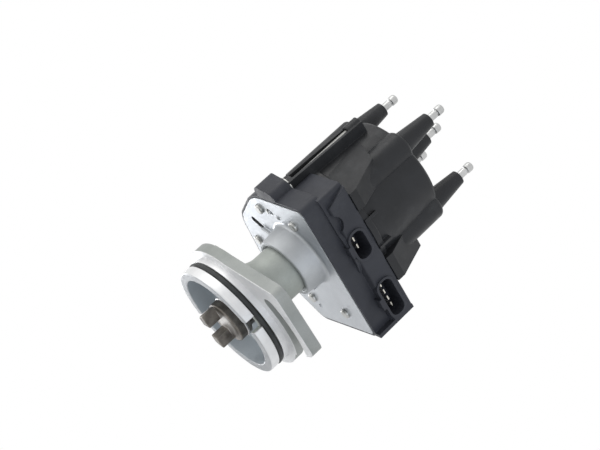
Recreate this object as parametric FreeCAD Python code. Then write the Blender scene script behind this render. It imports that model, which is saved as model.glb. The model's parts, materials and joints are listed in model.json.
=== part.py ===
import FreeCAD, Part
import math
import os

# Ignition distributor that is driven by the end of a camshaft. Millimetres, +Z along the shaft.
# The origin is the centre of the flange's seating face. The drive end points down, the cap is on top.
# The connector sockets look to +Y, and the two long cap screws stand at +X and -X.

V = FreeCAD.Vector

# Pilot cup
PILOT_R = 36.0
PILOT_LENGTH = 13.0
PILOT_WALL = 5.6
PILOT_LEAD_IN = 1.0
CUP_FLOOR_Z = 1.0
CUP_CORNER_R = 3.0
DRAIN_WIDTH = 7.5
DRAIN_DEPTH = 6.0
DRAIN_ANGLES = (75.0, 255.0)

# Pilot O-ring
O_RING_WIRE_R = 1.6
O_RING_Z = -5.5
O_RING_STANDOUT = 0.4
O_RING_SIDE_CLEARANCE = 0.2

# Flange and its slotted ears
FLANGE_R = 40.8
FLANGE_THICKNESS = 7.0
FLANGE_CROWN = 2.0
FLANGE_EDGE_R = 0.8
NECK_FLARE_R = 21.0
NECK_FLARE_Z = 21.0
NECK_FILLET_R = 8.0
EAR_RIM = 5.5
EAR_LEFT = -21.0
EAR_RIGHT = 24.0
EAR_HEEL_ANGLE = 36.0
EAR_CORNER_R = 5.0
EAR_ANGLES = (90.0, -115.0)
EAR_OFFSETS = (5.0, 0.0)
SLOT_CENTRE_R = 47.0
SLOT_WIDTH = 10.0
SLOT_CLOSED_END = -21.0
SLOT_OPEN_END = 45.0

# Neck and bearing tube
NECK_R = 15.5
NECK_TOP_Z = 34.0
TUBE_R = 14.0
TUBE_TOP_Z = 57.6

# Top plate and its collar
COLLAR_BOTTOM_Z = 32.5
COLLAR_BOTTOM_R = 19.0
COLLAR_TOP_R = 20.7
COLLAR_EDGE_R = 1.2
COLLAR_ROOT_R = 2.0
COLLAR_RECESS_R = 17.0
PLATE_Z = 46.5
PLATE_THICKNESS = 3.0
PLATE_OUTLINE = (
    (37.5, 30.0, 4.0),
    (37.5, -20.0, 32.0),
    (13.0, -53.0, 24.0),
    (-22.0, -59.5, 12.0),
    (-60.5, -26.0, 8.0),
    (-54.5, 29.5, 3.0),
)
PLATE_SLOT_AT = (12.7, -34.0)
PLATE_SLOT_LENGTH = 12.0
PLATE_SLOT_WIDTH = 5.0
PLATE_SLOT_ANGLE = 128.0
PLATE_KEY_AT = (28.8, -7.5)
PLATE_KEY_LENGTH = 5.0
PLATE_KEY_WIDTH = 2.2
PLATE_RIB_HEIGHT = 1.6
PLATE_RIB_WIDTH = 2.4
PLATE_RIB_ANGLES = (200.0, 245.0, 290.0)
PLATE_RIB_END_R = 33.0

# Plate screws, from below into posts of the base
PLATE_SCREWS_AT = ((28.5, -18.9), (23.4, 11.6), (-4.0, -48.5), (-44.3, 10.0))
PLATE_SCREW_R = 1.6
PLATE_SCREW_HEAD_R = 3.2
PLATE_SCREW_HEAD = 1.7
PLATE_SCREW_GRIP = 6.5
POST_R = 3.6

# Base: module bay, bowl, connector block
RIM_LIP = 1.6
RIM_CLEARANCE = 0.15
RIM_STANDDOWN = 0.4
GASKET_THICKNESS = 0.5
GASKET_WIDTH = 2.5
BAY_ROOF = 2.0
BAY_HEIGHT = 7.5
BOWL_TOP_Z = 74.0
BOWL_R = 35.4
BOWL_WALL = 4.8
BOWL_FLAT_Y = 21.3
CORNER_WALL_X = 37.5
CORNER_WALL_Y = 33.0
CORNER_WALL_R = 2.5
CORNER_WALL_START_Y = 5.3
BOSS_R = 6.6
BOSS_LUG_R = 5.0
BOSS_LUG_AT = (41.5, -7.5)

# Connector block
BLOCK_X_MAX = 35.5
BLOCK_END_TAPER = 0.35
BLOCK_X_MIN = -53.0
BLOCK_CHEEK = 2.4
BLOCK_Y = 35.5
BLOCK_LIP_Y = 31.4
BLOCK_LEDGE = 1.4
BLOCK_BACK_Y = 18.0
BLOCK_FACE_Z = 60.0
BLOCK_EDGE_R = 1.0
SOCKET_Z = 64.8
SOCKET_HEIGHT = 9.6
SOCKET_DEPTH = 12.2
SOCKET_CORNER_R = 4.0
POWER_SOCKET_X = 1.0
POWER_SOCKET_WIDTH = 17.2
SIGNAL_SOCKET_X = -38.8
SIGNAL_SOCKET_WIDTH = 24.0
SHROUD_WALL = 1.4
SHROUD_STANDOUT = 1.2
LATCH_WIDTH = 7.0
LATCH_HEIGHT = 1.8
LATCH_LENGTH = 5.0
THUMB_RECESS_R = 6.0
THUMB_RECESS_X = 20.0

# Socket pins
PIN_PITCH = 5.0
PIN_WIDTH = 2.8
PIN_THICKNESS = 0.8
PIN_REACH = 8.0
PIN_TAIL_Y = 21.9

# Ignition module and the board that links it to the pins
MODULE_X = (-47.0, -16.5)
MODULE_Y = (-33.0, -10.5)
MODULE_HEIGHT = 3.6
MODULE_CORNER_R = 3.0
MODULE_SCREWS_AT = ((-43.0, -22.5), (-20.0, -28.0))
BOARD_THICKNESS = 1.6
BOARD_GAP = 0.3
BOARD_OUTLINE = (
    (-51.0, 26.0, 1.5),
    (8.0, 26.0, 1.5),
    (8.0, 16.5, 1.5),
    (-13.0, 16.5, 3.0),
    (-17.5, 10.0, 3.0),
    (-17.5, -13.5, 1.5),
    (-29.0, -13.5, 1.5),
    (-29.0, 8.0, 1.5),
    (-51.0, 8.0, 1.5),
)
BOARD_POST_CLEARANCE = 0.4
MODULE_LEADS = 6
MODULE_LEAD_PITCH = 1.7
MODULE_LEAD_WIDTH = 0.8

# Shaft, bushes, seal
SHAFT_R = 6.0
SHAFT_FIT = 0.03
SHAFT_BOTTOM_Z = -11.0
SHAFT_SHOULDER_Z = 73.0
SHAFT_HEAD_R = 5.0
SHAFT_TOP_Z = 87.0
SHAFT_FLAT_DEPTH = 1.2
LOWER_BUSH_R = 9.0
LOWER_BUSH_LENGTH = 20.0
UPPER_BUSH_R = 10.0
UPPER_BUSH_LENGTH = 14.0
SEAL_Z = 25.0
SEAL_LENGTH = 6.0
SEAL_LIP_LENGTH = 1.4
SEAL_CASE = 1.2

# Drive coupling
COUPLING_R = 13.0
COUPLING_Z = -13.0
COUPLING_DISC = 8.5
COUPLING_HUB_R = 10.4
COUPLING_CHAMFER = 0.8
LUG_LENGTH = 8.5
LUG_WIDTH = 6.4
LUG_OFFSET_Y = -4.6
LUG_GAP = 8.0
LUG_GAP_X = -0.6
LUG_EDGE_R = 0.6
COUPLING_PIN_R = 1.75
COUPLING_PIN_Z = -7.6
RETAINER_WIRE_R = 0.7
WASHER_THICKNESS = 1.2
WASHER_R = 9.8
END_PLAY = 0.3
CIRCLIP_THICKNESS = 1.0
CIRCLIP_R = 8.4
CIRCLIP_GROOVE = 0.6
CIRCLIP_GAP_WIDTH = 4.0

# Pickup: reluctor, pole piece, coil and magnet
TEETH = 4
RELUCTOR_R = 10.2
RELUCTOR_HUB_R = 8.0
RELUCTOR_LENGTH = 8.6
RELUCTOR_TOOTH = 3.0
RELUCTOR_PIN_R = 1.0
PICKUP_AIR_GAP = 0.4
PICKUP_R = 20.8
PICKUP_PLATE = 1.5
PICKUP_BORE_R = 13.4
COIL_HEIGHT = 6.0
BOBBIN_R = 17.0
BOBBIN_WALL = 1.0
MAGNET_BORE_R = 17.3
POLE_PLATE = 2.0
POLE_TOOTH_WIDTH = 3.4
POLE_TOOTH_ROOT_R = 14.0
POLE_TOOTH_RISE = 2.6
PICKUP_SCREW_CENTRE_R = 19.0
PICKUP_SCREW_R = 1.0
PICKUP_SCREW_HEAD_R = 1.8
PICKUP_SCREW_HEAD = 1.4
PICKUP_SCREW_ANGLES = (30.0, 150.0, 270.0)

# Dust shield
SHIELD_LEDGE = 0.7
SHIELD_BORE_R = 13.0
SHIELD_THICKNESS = 1.2
SHIELD_RIM_HEIGHT = 1.4

# Cap
CAP_FOOT_OVERHANG = 1.2
CAP_FOOT_HEIGHT = 4.0
CAP_STEP_IN = 0.4
CAP_TAPER = 1.6
CAP_TOP_Z = 123.6
CAP_CROWN = 1.8
CAP_EDGE_R = 2.5
CAP_REGISTER_R = 31.6
CAP_REGISTER_HEIGHT = 5.0
CAP_WALL = 3.8
CAP_INSIDE_R = 3.0
CAP_ROOF = 5.0
TOWER_INSET = 3.1
TOWER_ANGLES = (-45.0, 45.0, 135.0, 225.0)
TOWER_ROOT_R = 6.8
TOWER_TIP_R = 4.5
TOWER_TIP_Z = 145.7
CENTRE_TOWER_ROOT_R = 8.0
CENTRE_TOWER_TIP_Z = 150.9
COLUMN_R = 9.5
ELECTRODE_BOSS_R = 4.6
ELECTRODE_BOSS_Z = 97.0
BRUSH_BOSS_R = 5.6
BRUSH_BOSS_Z = 106.0
BUTTRESS_RIGHT = (17.5, 34.5, 29.5)
BUTTRESS_LEFT = (-17.5, -34.5, -34.5)
BUTTRESS_STANDOUT = 0.5
BUTTRESS_STEP = 5.0
BUTTRESS_KNEE = (26.5, 101.0)
BUTTRESS_TOP_Z = 110.5
CAP_RIB_ANGLES = (75.0, 105.0, 195.0, 255.0, 285.0, 345.0)
CAP_RIB_WIDTH = 1.8
CAP_RIB_HEIGHT = 9.0
CAP_RIB_STANDOUT = 1.0
SEAL_RING_INSET = 1.3
SEAL_RING_WIDTH = 1.4
SEAL_RING_DEPTH = 0.8

# Cap legs and their long screws
LEG_SEAT_Z = 59.5
CAP_SCREW_OFFSET = 2.8
CAP_SCREW_R = 1.75
CAP_SCREW_CLEARANCE = 0.2
CAP_SCREW_HEAD_R = 2.8
CAP_SCREW_HEAD = 3.6
CAP_SCREW_HEAD_DEPTH = 5.5
CAP_SCREW_TIP_Z = 51.0
DRIVE_SLOT_WIDTH = 1.2
DRIVE_SLOT_DEPTH = 1.4
LEG_HALF_WIDTH = 5.0
LEG_RIB = 2.2
LEG_FLOOR = 1.5
LEG_NEAR_RIB_OVERHANG = 3.9
LEG_FAR_RIB_OVERHANG = 3.1
LEG_DRAFT = 1.9
LEG_EAR_R = 3.8
LEG_EAR_HEIGHT = 9.0
LEG_FOOT_HEIGHT = 5.0
LEG_TOP_Z = 117.0
LEG_BOWL_CLEARANCE = 0.3
INSERT_R = 3.2
INSERT_LENGTH = 8.0
INSERT_KNURL_GROOVE = 0.4

# Terminals
STEM_R = 2.1
TERMINAL_COLLAR_R = 3.0
TERMINAL_COLLAR = 1.2
TERMINAL_SHANK_R = 2.35
TERMINAL_SHANK = 4.6
TERMINAL_WAIST_R = 1.7
TERMINAL_WAIST = 1.2
TERMINAL_HEAD_R = 2.8
TERMINAL_HEAD = 4.6
ELECTRODE_WIDTH = 4.4
ELECTRODE_SET_IN = 1.0
ELECTRODE_THICKNESS = 1.6
ELECTRODE_ROOT = 3.0
ELECTRODE_HEIGHT = 8.5

# Rotor
ROTOR_BOTTOM_Z = 76.6
ROTOR_HUB_R = 9.0
ROTOR_DISC_R = 21.5
ROTOR_DISC_Z = 80.5
ROTOR_DISC = 2.6
ROTOR_DECK_Z = 91.0
ROTOR_ARM_INSET = 3.9
ROTOR_ARM_WIDTH = 11.0
ROTOR_BOSS_R = 7.4
ROTOR_WEIGHT_R = 19.0
ROTOR_WEIGHT_BORE_R = 12.0
ROTOR_WEIGHT_HEIGHT = 6.0
ROTOR_FIT = 0.05
BLADE_THICKNESS = 1.4
BLADE_WIDTH = 6.0
BLADE_TIP_WIDTH = 11.0
BLADE_TIP_LENGTH = 3.0
BLADE_SHOULDER = 3.0
ROTOR_GAP = 0.8
CONTACT_THICKNESS = 0.5
CONTACT_WIDTH = 5.0
CONTACT_PAD_X = 2.3
CONTACT_TIP = 2.0
CONTACT_BEND_R = 1.4
CONTACT_ROOT_R = 0.8
CONTACT_RIVET_GAP = 0.4
CONTACT_RISE = 8.0
CONTACT_ROOT_X = 12.0
RIVET_R = 1.3
RIVET_HEAD_R = 2.2
RIVET_HEAD = 0.9
RIVET_X = 9.5
RIVET_DEPTH = 3.0

# Carbon brush and its spring
BRUSH_R = 2.2
BRUSH_FIT = 0.05
BRUSH_LENGTH = 10.6
BRUSH_REST_GAP = 0.3
BRUSH_SPRING_R = 1.6
BRUSH_SPRING_WIRE_R = 0.25
BRUSH_SPRING_TURNS = 5
BRUSH_SPRING_SIDES = 8
BRUSH_SPRING_STEPS = 12
BRUSH_SPRING_END_GAP = 0.1
BRUSH_SPRING_SPACE = 9.0

# Levels and radii that follow from the sizes above
PLATE_TOP_Z = PLATE_Z + PLATE_THICKNESS
BAY_FLOOR_Z = PLATE_TOP_Z + GASKET_THICKNESS
BAY_TOP_Z = BAY_FLOOR_Z + BAY_HEIGHT
ROOF_TOP_Z = BAY_TOP_Z + BAY_ROOF
CUP_R = PILOT_R - PILOT_WALL
EAR_REACH = SLOT_CENTRE_R + SLOT_WIDTH / 2 + EAR_RIM
BOWL_BORE_R = BOWL_R - BOWL_WALL
SHIELD_R = BOWL_BORE_R + SHIELD_LEDGE
SEAL_RING_R = BOWL_R - SEAL_RING_INSET
CAP_FOOT_R = BOWL_R + CAP_FOOT_OVERHANG
CAP_BOTTOM_R = BOWL_R - CAP_STEP_IN
CAP_TOP_R = CAP_BOTTOM_R - CAP_TAPER
CAP_BORE_R = CAP_TOP_R - CAP_WALL
TOWER_CENTRE_R = CAP_TOP_R - TOWER_INSET
CAP_SCREW_X = BOWL_R + CAP_SCREW_OFFSET
CAP_SCREW_HEAD_Z = LEG_TOP_Z - CAP_SCREW_HEAD_DEPTH
BUTTRESS_FRONT_Y = BLOCK_Y + BUTTRESS_STANDOUT
SHAFT_BORE_R = SHAFT_R + SHAFT_FIT
LOWER_BUSH_TOP_Z = CUP_FLOOR_Z + LOWER_BUSH_LENGTH
WASHER_Z = CUP_FLOOR_Z - END_PLAY - WASHER_THICKNESS
UPPER_WASHER_Z = TUBE_TOP_Z + END_PLAY
CIRCLIP_Z = UPPER_WASHER_Z + WASHER_THICKNESS
PICKUP_Z = ROOF_TOP_Z
COIL_Z = PICKUP_Z + PICKUP_PLATE
POLE_Z = COIL_Z + COIL_HEIGHT
POLE_TOP_Z = POLE_Z + POLE_PLATE
RELUCTOR_Z = SHAFT_SHOULDER_Z - RELUCTOR_LENGTH
BOARD_Z = PLATE_TOP_Z + MODULE_HEIGHT + BOARD_GAP
BOARD_TOP_Z = BOARD_Z + BOARD_THICKNESS
SOCKET_FLOOR_Y = BLOCK_Y - SOCKET_DEPTH
CAP_INSIDE_Z = CAP_TOP_Z - CAP_ROOF
BLADE_TOP_Z = ROTOR_DECK_Z + BLADE_THICKNESS
CONTACT_TOP_Z = BLADE_TOP_Z + CONTACT_RISE
BRUSH_Z = CONTACT_TOP_Z + BRUSH_REST_GAP
BRUSH_TOP_Z = BRUSH_Z + BRUSH_LENGTH
CENTRE_STEM_Z = BRUSH_TOP_Z + BRUSH_SPRING_SPACE
ELECTRODE_BACK_R = TOWER_CENTRE_R - ELECTRODE_SET_IN
ELECTRODE_FACE_R = ELECTRODE_BACK_R - ELECTRODE_THICKNESS
BLADE_TIP_R = ELECTRODE_FACE_R - ROTOR_GAP
ROTOR_ARM_LENGTH = BLADE_TIP_R - ROTOR_ARM_INSET
FAR = 200.0
CUT = 1.0
RIGHT_ANGLE = 90.0


def cylinder(radius, bottom, top, x=0.0, y=0.0):
    return Part.makeCylinder(radius, top - bottom, V(x, y, bottom))


def cone(bottom_radius, top_radius, bottom, top, x=0.0, y=0.0):
    return Part.makeCone(bottom_radius, top_radius, top - bottom, V(x, y, bottom))


def ring(outer, inner, bottom, top, x=0.0, y=0.0):
    bore = cylinder(inner, bottom - CUT, top + CUT, x, y)
    return cylinder(outer, bottom, top, x, y).cut(bore)


def box(x_min, x_max, y_min, y_max, z_min, z_max):
    return Part.makeBox(x_max - x_min, y_max - y_min, z_max - z_min, V(x_min, y_min, z_min))


def polar(radius, angle):
    return radius * math.cos(math.radians(angle)), radius * math.sin(math.radians(angle))


def about_z(shape, angle):
    copy = shape.copy()
    copy.rotate(V(0, 0, 0), V(0, 0, 1), angle)
    return copy


def joined(shapes):
    result = shapes[0]
    if len(shapes) > 1:
        result = result.fuse(shapes[1:])
    return result.removeSplitter()


def rounded_corner(before, here, after, radius):
    """Start, middle and end of the arc that rounds one corner of an outline."""
    to_before = (before - here).normalize()
    to_after = (after - here).normalize()
    half_angle = to_before.getAngle(to_after) / 2
    reach = radius / math.tan(half_angle)
    inward = (to_before + to_after).normalize()
    centre = here + inward * (radius / math.sin(half_angle))
    return here + to_before * reach, centre - inward * radius, here + to_after * reach


def outline(points):
    """Closed wire through (a, b) or (a, b, corner radius) points."""
    count = len(points)
    flat = [V(point[0], point[1], 0) for point in points]
    corners = []
    for i, point in enumerate(points):
        radius = point[2] if len(point) > 2 else 0
        if radius > 0:
            corners.append(rounded_corner(flat[i - 1], flat[i], flat[(i + 1) % count], radius))
        else:
            corners.append((flat[i], None, flat[i]))
    edges = []
    for i, (start, middle, end) in enumerate(corners):
        if middle is not None:
            edges.append(Part.Arc(start, middle, end).toShape())
        following = corners[(i + 1) % count][0]
        if (following - end).Length > 1e-6:
            edges.append(Part.makeLine(end, following))
    return Part.Wire(edges)


def prism(wire, bottom, top):
    face = Part.Face(wire)
    face.translate(V(0, 0, bottom))
    return face.extrude(V(0, 0, top - bottom))


def turned(points):
    """Body of revolution about Z from (radius, height) points."""
    wire = outline(points)
    wire.rotate(V(0, 0, 0), V(1, 0, 0), RIGHT_ANGLE)
    return Part.Face(wire).revolve(V(0, 0, 0), V(0, 0, 1), 360)


def along_x(points, x_min, x_max):
    """Prism along X from (y, z) points."""
    wire = outline(points)
    wire.rotate(V(0, 0, 0), V(1, 1, 1), 120)
    face = Part.Face(wire)
    face.translate(V(x_min, 0, 0))
    return face.extrude(V(x_max - x_min, 0, 0))


def along_y(points, y_min, y_max):
    """Prism along Y from (x, z) points."""
    wire = outline(points)
    wire.rotate(V(0, 0, 0), V(1, 0, 0), RIGHT_ANGLE)
    face = Part.Face(wire)
    face.translate(V(0, y_min, 0))
    return face.extrude(V(0, y_max - y_min, 0))


def rounded_rectangle(width, height, radius, x=0.0, y=0.0):
    half_w = width / 2
    half_h = height / 2
    return [
        (x - half_w, y - half_h, radius),
        (x + half_w, y - half_h, radius),
        (x + half_w, y + half_h, radius),
        (x - half_w, y + half_h, radius),
    ]


def arc_slot(pitch_r, width, start_angle, end_angle, bottom, top):
    """Curved slot about Z with round ends."""
    sector = ring(pitch_r + width / 2, pitch_r - width / 2, bottom, top)
    wedge_r = 2 * pitch_r
    right = polar(wedge_r, start_angle)
    ahead = polar(wedge_r, (start_angle + end_angle) / 2)
    left = polar(wedge_r, end_angle)
    slot = sector.common(prism(outline([(0, 0), right, ahead, left]), bottom, top))
    for end in (start_angle, end_angle):
        x, y = polar(pitch_r, end)
        slot = slot.fuse(cylinder(width / 2, bottom, top, x, y))
    return slot.removeSplitter()


def dome_head(radius, height, bottom):
    """Pan head that opens upward from its seat at the bottom."""
    top = bottom + height
    return turned([(0, bottom), (radius, bottom), (radius, top, 0.6 * height), (0, top)])


def export(name, shape):
    shape.exportStep("parts/" + name + ".step")


def plate_wire(offset=0.0):
    wire = outline(PLATE_OUTLINE)
    if offset == 0.0:
        return wire
    return wire.makeOffset2D(offset)


# Housing: pilot cup, flange, ears, neck and bearing tube in one casting
def ear(direction, offset):
    """Flat lug beside the flange and its slot, which runs out of the lug at one end."""
    points = [
        (0, 0),
        polar(FLANGE_R, RIGHT_ANGLE + EAR_HEEL_ANGLE),
        (offset + EAR_LEFT, EAR_REACH, EAR_CORNER_R),
        (offset + EAR_RIGHT, EAR_REACH, EAR_CORNER_R),
        (FLANGE_R, 0),
    ]
    body = prism(outline(points), 0, FLANGE_THICKNESS)
    slot = arc_slot(
        SLOT_CENTRE_R,
        SLOT_WIDTH,
        RIGHT_ANGLE + SLOT_CLOSED_END,
        RIGHT_ANGLE + SLOT_OPEN_END,
        -CUT,
        FLANGE_THICKNESS + CUT,
    )
    return about_z(body, direction - RIGHT_ANGLE), about_z(slot, direction - RIGHT_ANGLE)


def housing():
    groove_r = PILOT_R + O_RING_STANDOUT - 2 * O_RING_WIRE_R
    groove_half = O_RING_WIRE_R + O_RING_SIDE_CLEARANCE
    body = turned([
        (CUP_R, -PILOT_LENGTH, 0.5),
        (PILOT_R, -PILOT_LENGTH, PILOT_LEAD_IN),
        (PILOT_R, O_RING_Z - groove_half),
        (groove_r, O_RING_Z - groove_half),
        (groove_r, O_RING_Z + groove_half),
        (PILOT_R, O_RING_Z + groove_half),
        (PILOT_R, 0),
        (FLANGE_R, 0),
        (FLANGE_R, FLANGE_THICKNESS, FLANGE_EDGE_R),
        (NECK_FLARE_R, FLANGE_THICKNESS + FLANGE_CROWN, NECK_FILLET_R),
        (NECK_R, NECK_FLARE_Z, 2 * NECK_FILLET_R),
        (NECK_R, NECK_TOP_Z),
        (TUBE_R, NECK_TOP_Z),
        (TUBE_R, TUBE_TOP_Z),
        (UPPER_BUSH_R, TUBE_TOP_Z),
        (UPPER_BUSH_R, LOWER_BUSH_TOP_Z),
        (LOWER_BUSH_R, LOWER_BUSH_TOP_Z),
        (LOWER_BUSH_R, CUP_FLOOR_Z),
        (CUP_R, CUP_FLOOR_Z, CUP_CORNER_R),
    ])
    ears = []
    slots = []
    for direction, offset in zip(EAR_ANGLES, EAR_OFFSETS):
        lug, slot = ear(direction, offset)
        ears.append(lug.cut(cylinder(PILOT_R - CUT, -CUT, FLANGE_THICKNESS + CUT)))
        slots.append(slot)
    body = joined([body] + ears)
    for angle in DRAIN_ANGLES:
        notch = box(
            CUP_R - CUT,
            PILOT_R + CUT,
            -DRAIN_WIDTH / 2,
            DRAIN_WIDTH / 2,
            -PILOT_LENGTH - CUT,
            -PILOT_LENGTH + DRAIN_DEPTH,
        )
        slots.append(about_z(notch, angle))
    return body.cut(slots)


def pilot_o_ring():
    centre_r = PILOT_R + O_RING_STANDOUT - O_RING_WIRE_R
    return Part.makeTorus(centre_r, O_RING_WIRE_R, V(0, 0, O_RING_Z))


# Top plate with the collar that is pressed on the bearing tube
def top_plate():
    collar = turned([
        (TUBE_R, NECK_TOP_Z),
        (NECK_R, NECK_TOP_Z),
        (COLLAR_RECESS_R, COLLAR_BOTTOM_Z),
        (COLLAR_BOTTOM_R, COLLAR_BOTTOM_Z, COLLAR_EDGE_R),
        (COLLAR_TOP_R, PLATE_Z, COLLAR_ROOT_R),
        (COLLAR_TOP_R + 2 * COLLAR_ROOT_R, PLATE_Z),
        (COLLAR_TOP_R + 2 * COLLAR_ROOT_R, PLATE_TOP_Z),
        (TUBE_R, PLATE_TOP_Z),
    ])
    sheet = prism(plate_wire(), PLATE_Z, PLATE_TOP_Z)
    sheet = sheet.cut(cylinder(COLLAR_TOP_R, PLATE_Z - CUT, PLATE_TOP_Z + CUT))
    ribs = []
    for angle in PLATE_RIB_ANGLES:
        rib = box(
            COLLAR_BOTTOM_R - CUT,
            PLATE_RIB_END_R,
            -PLATE_RIB_WIDTH / 2,
            PLATE_RIB_WIDTH / 2,
            PLATE_Z - PLATE_RIB_HEIGHT,
            PLATE_Z,
        )
        ribs.append(about_z(rib, angle))
    body = joined([collar, sheet] + ribs)
    cuts = []
    for length, width, place, angle in (
        (PLATE_SLOT_LENGTH, PLATE_SLOT_WIDTH, PLATE_SLOT_AT, PLATE_SLOT_ANGLE),
        (PLATE_KEY_LENGTH, PLATE_KEY_WIDTH, PLATE_KEY_AT, PLATE_SLOT_ANGLE),
    ):
        opening = rounded_rectangle(length, width, 0.49 * width)
        tool = prism(outline(opening), PLATE_Z - CUT, PLATE_TOP_Z + CUT)
        tool = about_z(tool, angle)
        tool.translate(V(place[0], place[1], 0))
        cuts.append(tool)
    for x, y in PLATE_SCREWS_AT + MODULE_SCREWS_AT:
        cuts.append(cylinder(PLATE_SCREW_R, PLATE_Z - CUT, PLATE_TOP_Z + CUT, x, y))
    return body.cut(cuts)


def plate_gasket():
    sheet = prism(plate_wire(), PLATE_TOP_Z, BAY_FLOOR_Z)
    return sheet.cut(prism(plate_wire(-GASKET_WIDTH), PLATE_TOP_Z - CUT, BAY_FLOOR_Z + CUT))


def screws_from_below(places, tip_z):
    screws = []
    for x, y in places:
        head = dome_head(PLATE_SCREW_HEAD_R, PLATE_SCREW_HEAD, 0)
        head.rotate(V(0, 0, 0), V(1, 0, 0), 180)
        head.translate(V(x, y, PLATE_Z))
        screws.append(joined([head, cylinder(PLATE_SCREW_R, PLATE_Z, tip_z, x, y)]))
    return Part.makeCompound(screws)


# Base: one moulding with the module bay, the bowl and the connector block
def leg_boss(side):
    """Boss under one cap leg, with the lug beside it on the +X side."""
    boss = cylinder(BOSS_R, PLATE_Z, LEG_SEAT_Z, side * CAP_SCREW_X, 0)
    if side < 0:
        return boss
    lug = cylinder(BOSS_LUG_R, PLATE_Z, LEG_SEAT_Z, BOSS_LUG_AT[0], BOSS_LUG_AT[1])
    web = prism(
        outline([
            (CAP_SCREW_X - BOSS_R, 0),
            (BOSS_LUG_AT[0] - BOSS_LUG_R, BOSS_LUG_AT[1]),
            (BOSS_LUG_AT[0] + BOSS_LUG_R, BOSS_LUG_AT[1]),
            (CAP_SCREW_X + BOSS_R, 0),
        ]),
        PLATE_Z,
        LEG_SEAT_Z,
    )
    return joined([boss, web, lug])


def socket_cavity(x, width, y_min, y_max, grow=0.0):
    height = SOCKET_HEIGHT + 2 * grow
    points = rounded_rectangle(width + 2 * grow, height, SOCKET_CORNER_R + grow, x, SOCKET_Z)
    return along_y(points, y_min, y_max)


def connector_block():
    block = along_x(
        [
            (BLOCK_BACK_Y, PLATE_Z),
            (BLOCK_LIP_Y, PLATE_Z),
            (BLOCK_LIP_Y, BLOCK_FACE_Z - BLOCK_LEDGE),
            (BLOCK_Y, BLOCK_FACE_Z, BLOCK_EDGE_R),
            (BLOCK_Y, BOWL_TOP_Z, BLOCK_EDGE_R),
            (BLOCK_BACK_Y, BOWL_TOP_Z),
        ],
        BLOCK_X_MIN,
        BLOCK_X_MAX,
    )
    foot_x = BLOCK_X_MAX - BLOCK_END_TAPER * (BOWL_TOP_Z - PLATE_Z)
    block = block.common(along_y(
        [
            (BLOCK_X_MIN, PLATE_Z),
            (foot_x, PLATE_Z),
            (BLOCK_X_MAX, BOWL_TOP_Z),
            (BLOCK_X_MIN, BOWL_TOP_Z),
        ],
        BLOCK_BACK_Y,
        BLOCK_Y,
    ))
    cheek = box(
        BLOCK_X_MIN - BLOCK_CHEEK, BLOCK_X_MIN, BLOCK_BACK_Y, BLOCK_Y, PLATE_Z, BOWL_TOP_Z
    )
    thumb_at = V(THUMB_RECESS_X, BLOCK_LIP_Y - 2 * CUT, BLOCK_FACE_Z - THUMB_RECESS_R / 2)
    thumb = Part.makeCylinder(THUMB_RECESS_R, BLOCK_Y, thumb_at, V(0, 1, 0))
    parts = [block, cheek]
    for x, width in (
        (POWER_SOCKET_X, POWER_SOCKET_WIDTH),
        (SIGNAL_SOCKET_X, SIGNAL_SOCKET_WIDTH),
    ):
        parts.append(socket_cavity(x, width, SOCKET_FLOOR_Y, BLOCK_Y + SHROUD_STANDOUT, SHROUD_WALL))
        latch_top = SOCKET_Z - SOCKET_HEIGHT / 2 - SHROUD_WALL
        parts.append(
            box(
                x - LATCH_WIDTH / 2,
                x + LATCH_WIDTH / 2,
                BLOCK_Y + SHROUD_STANDOUT - LATCH_LENGTH,
                BLOCK_Y + SHROUD_STANDOUT,
                latch_top - LATCH_HEIGHT,
                latch_top + CUT,
            )
        )
    return joined([parts[0].cut(thumb)] + parts[1:])


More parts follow.
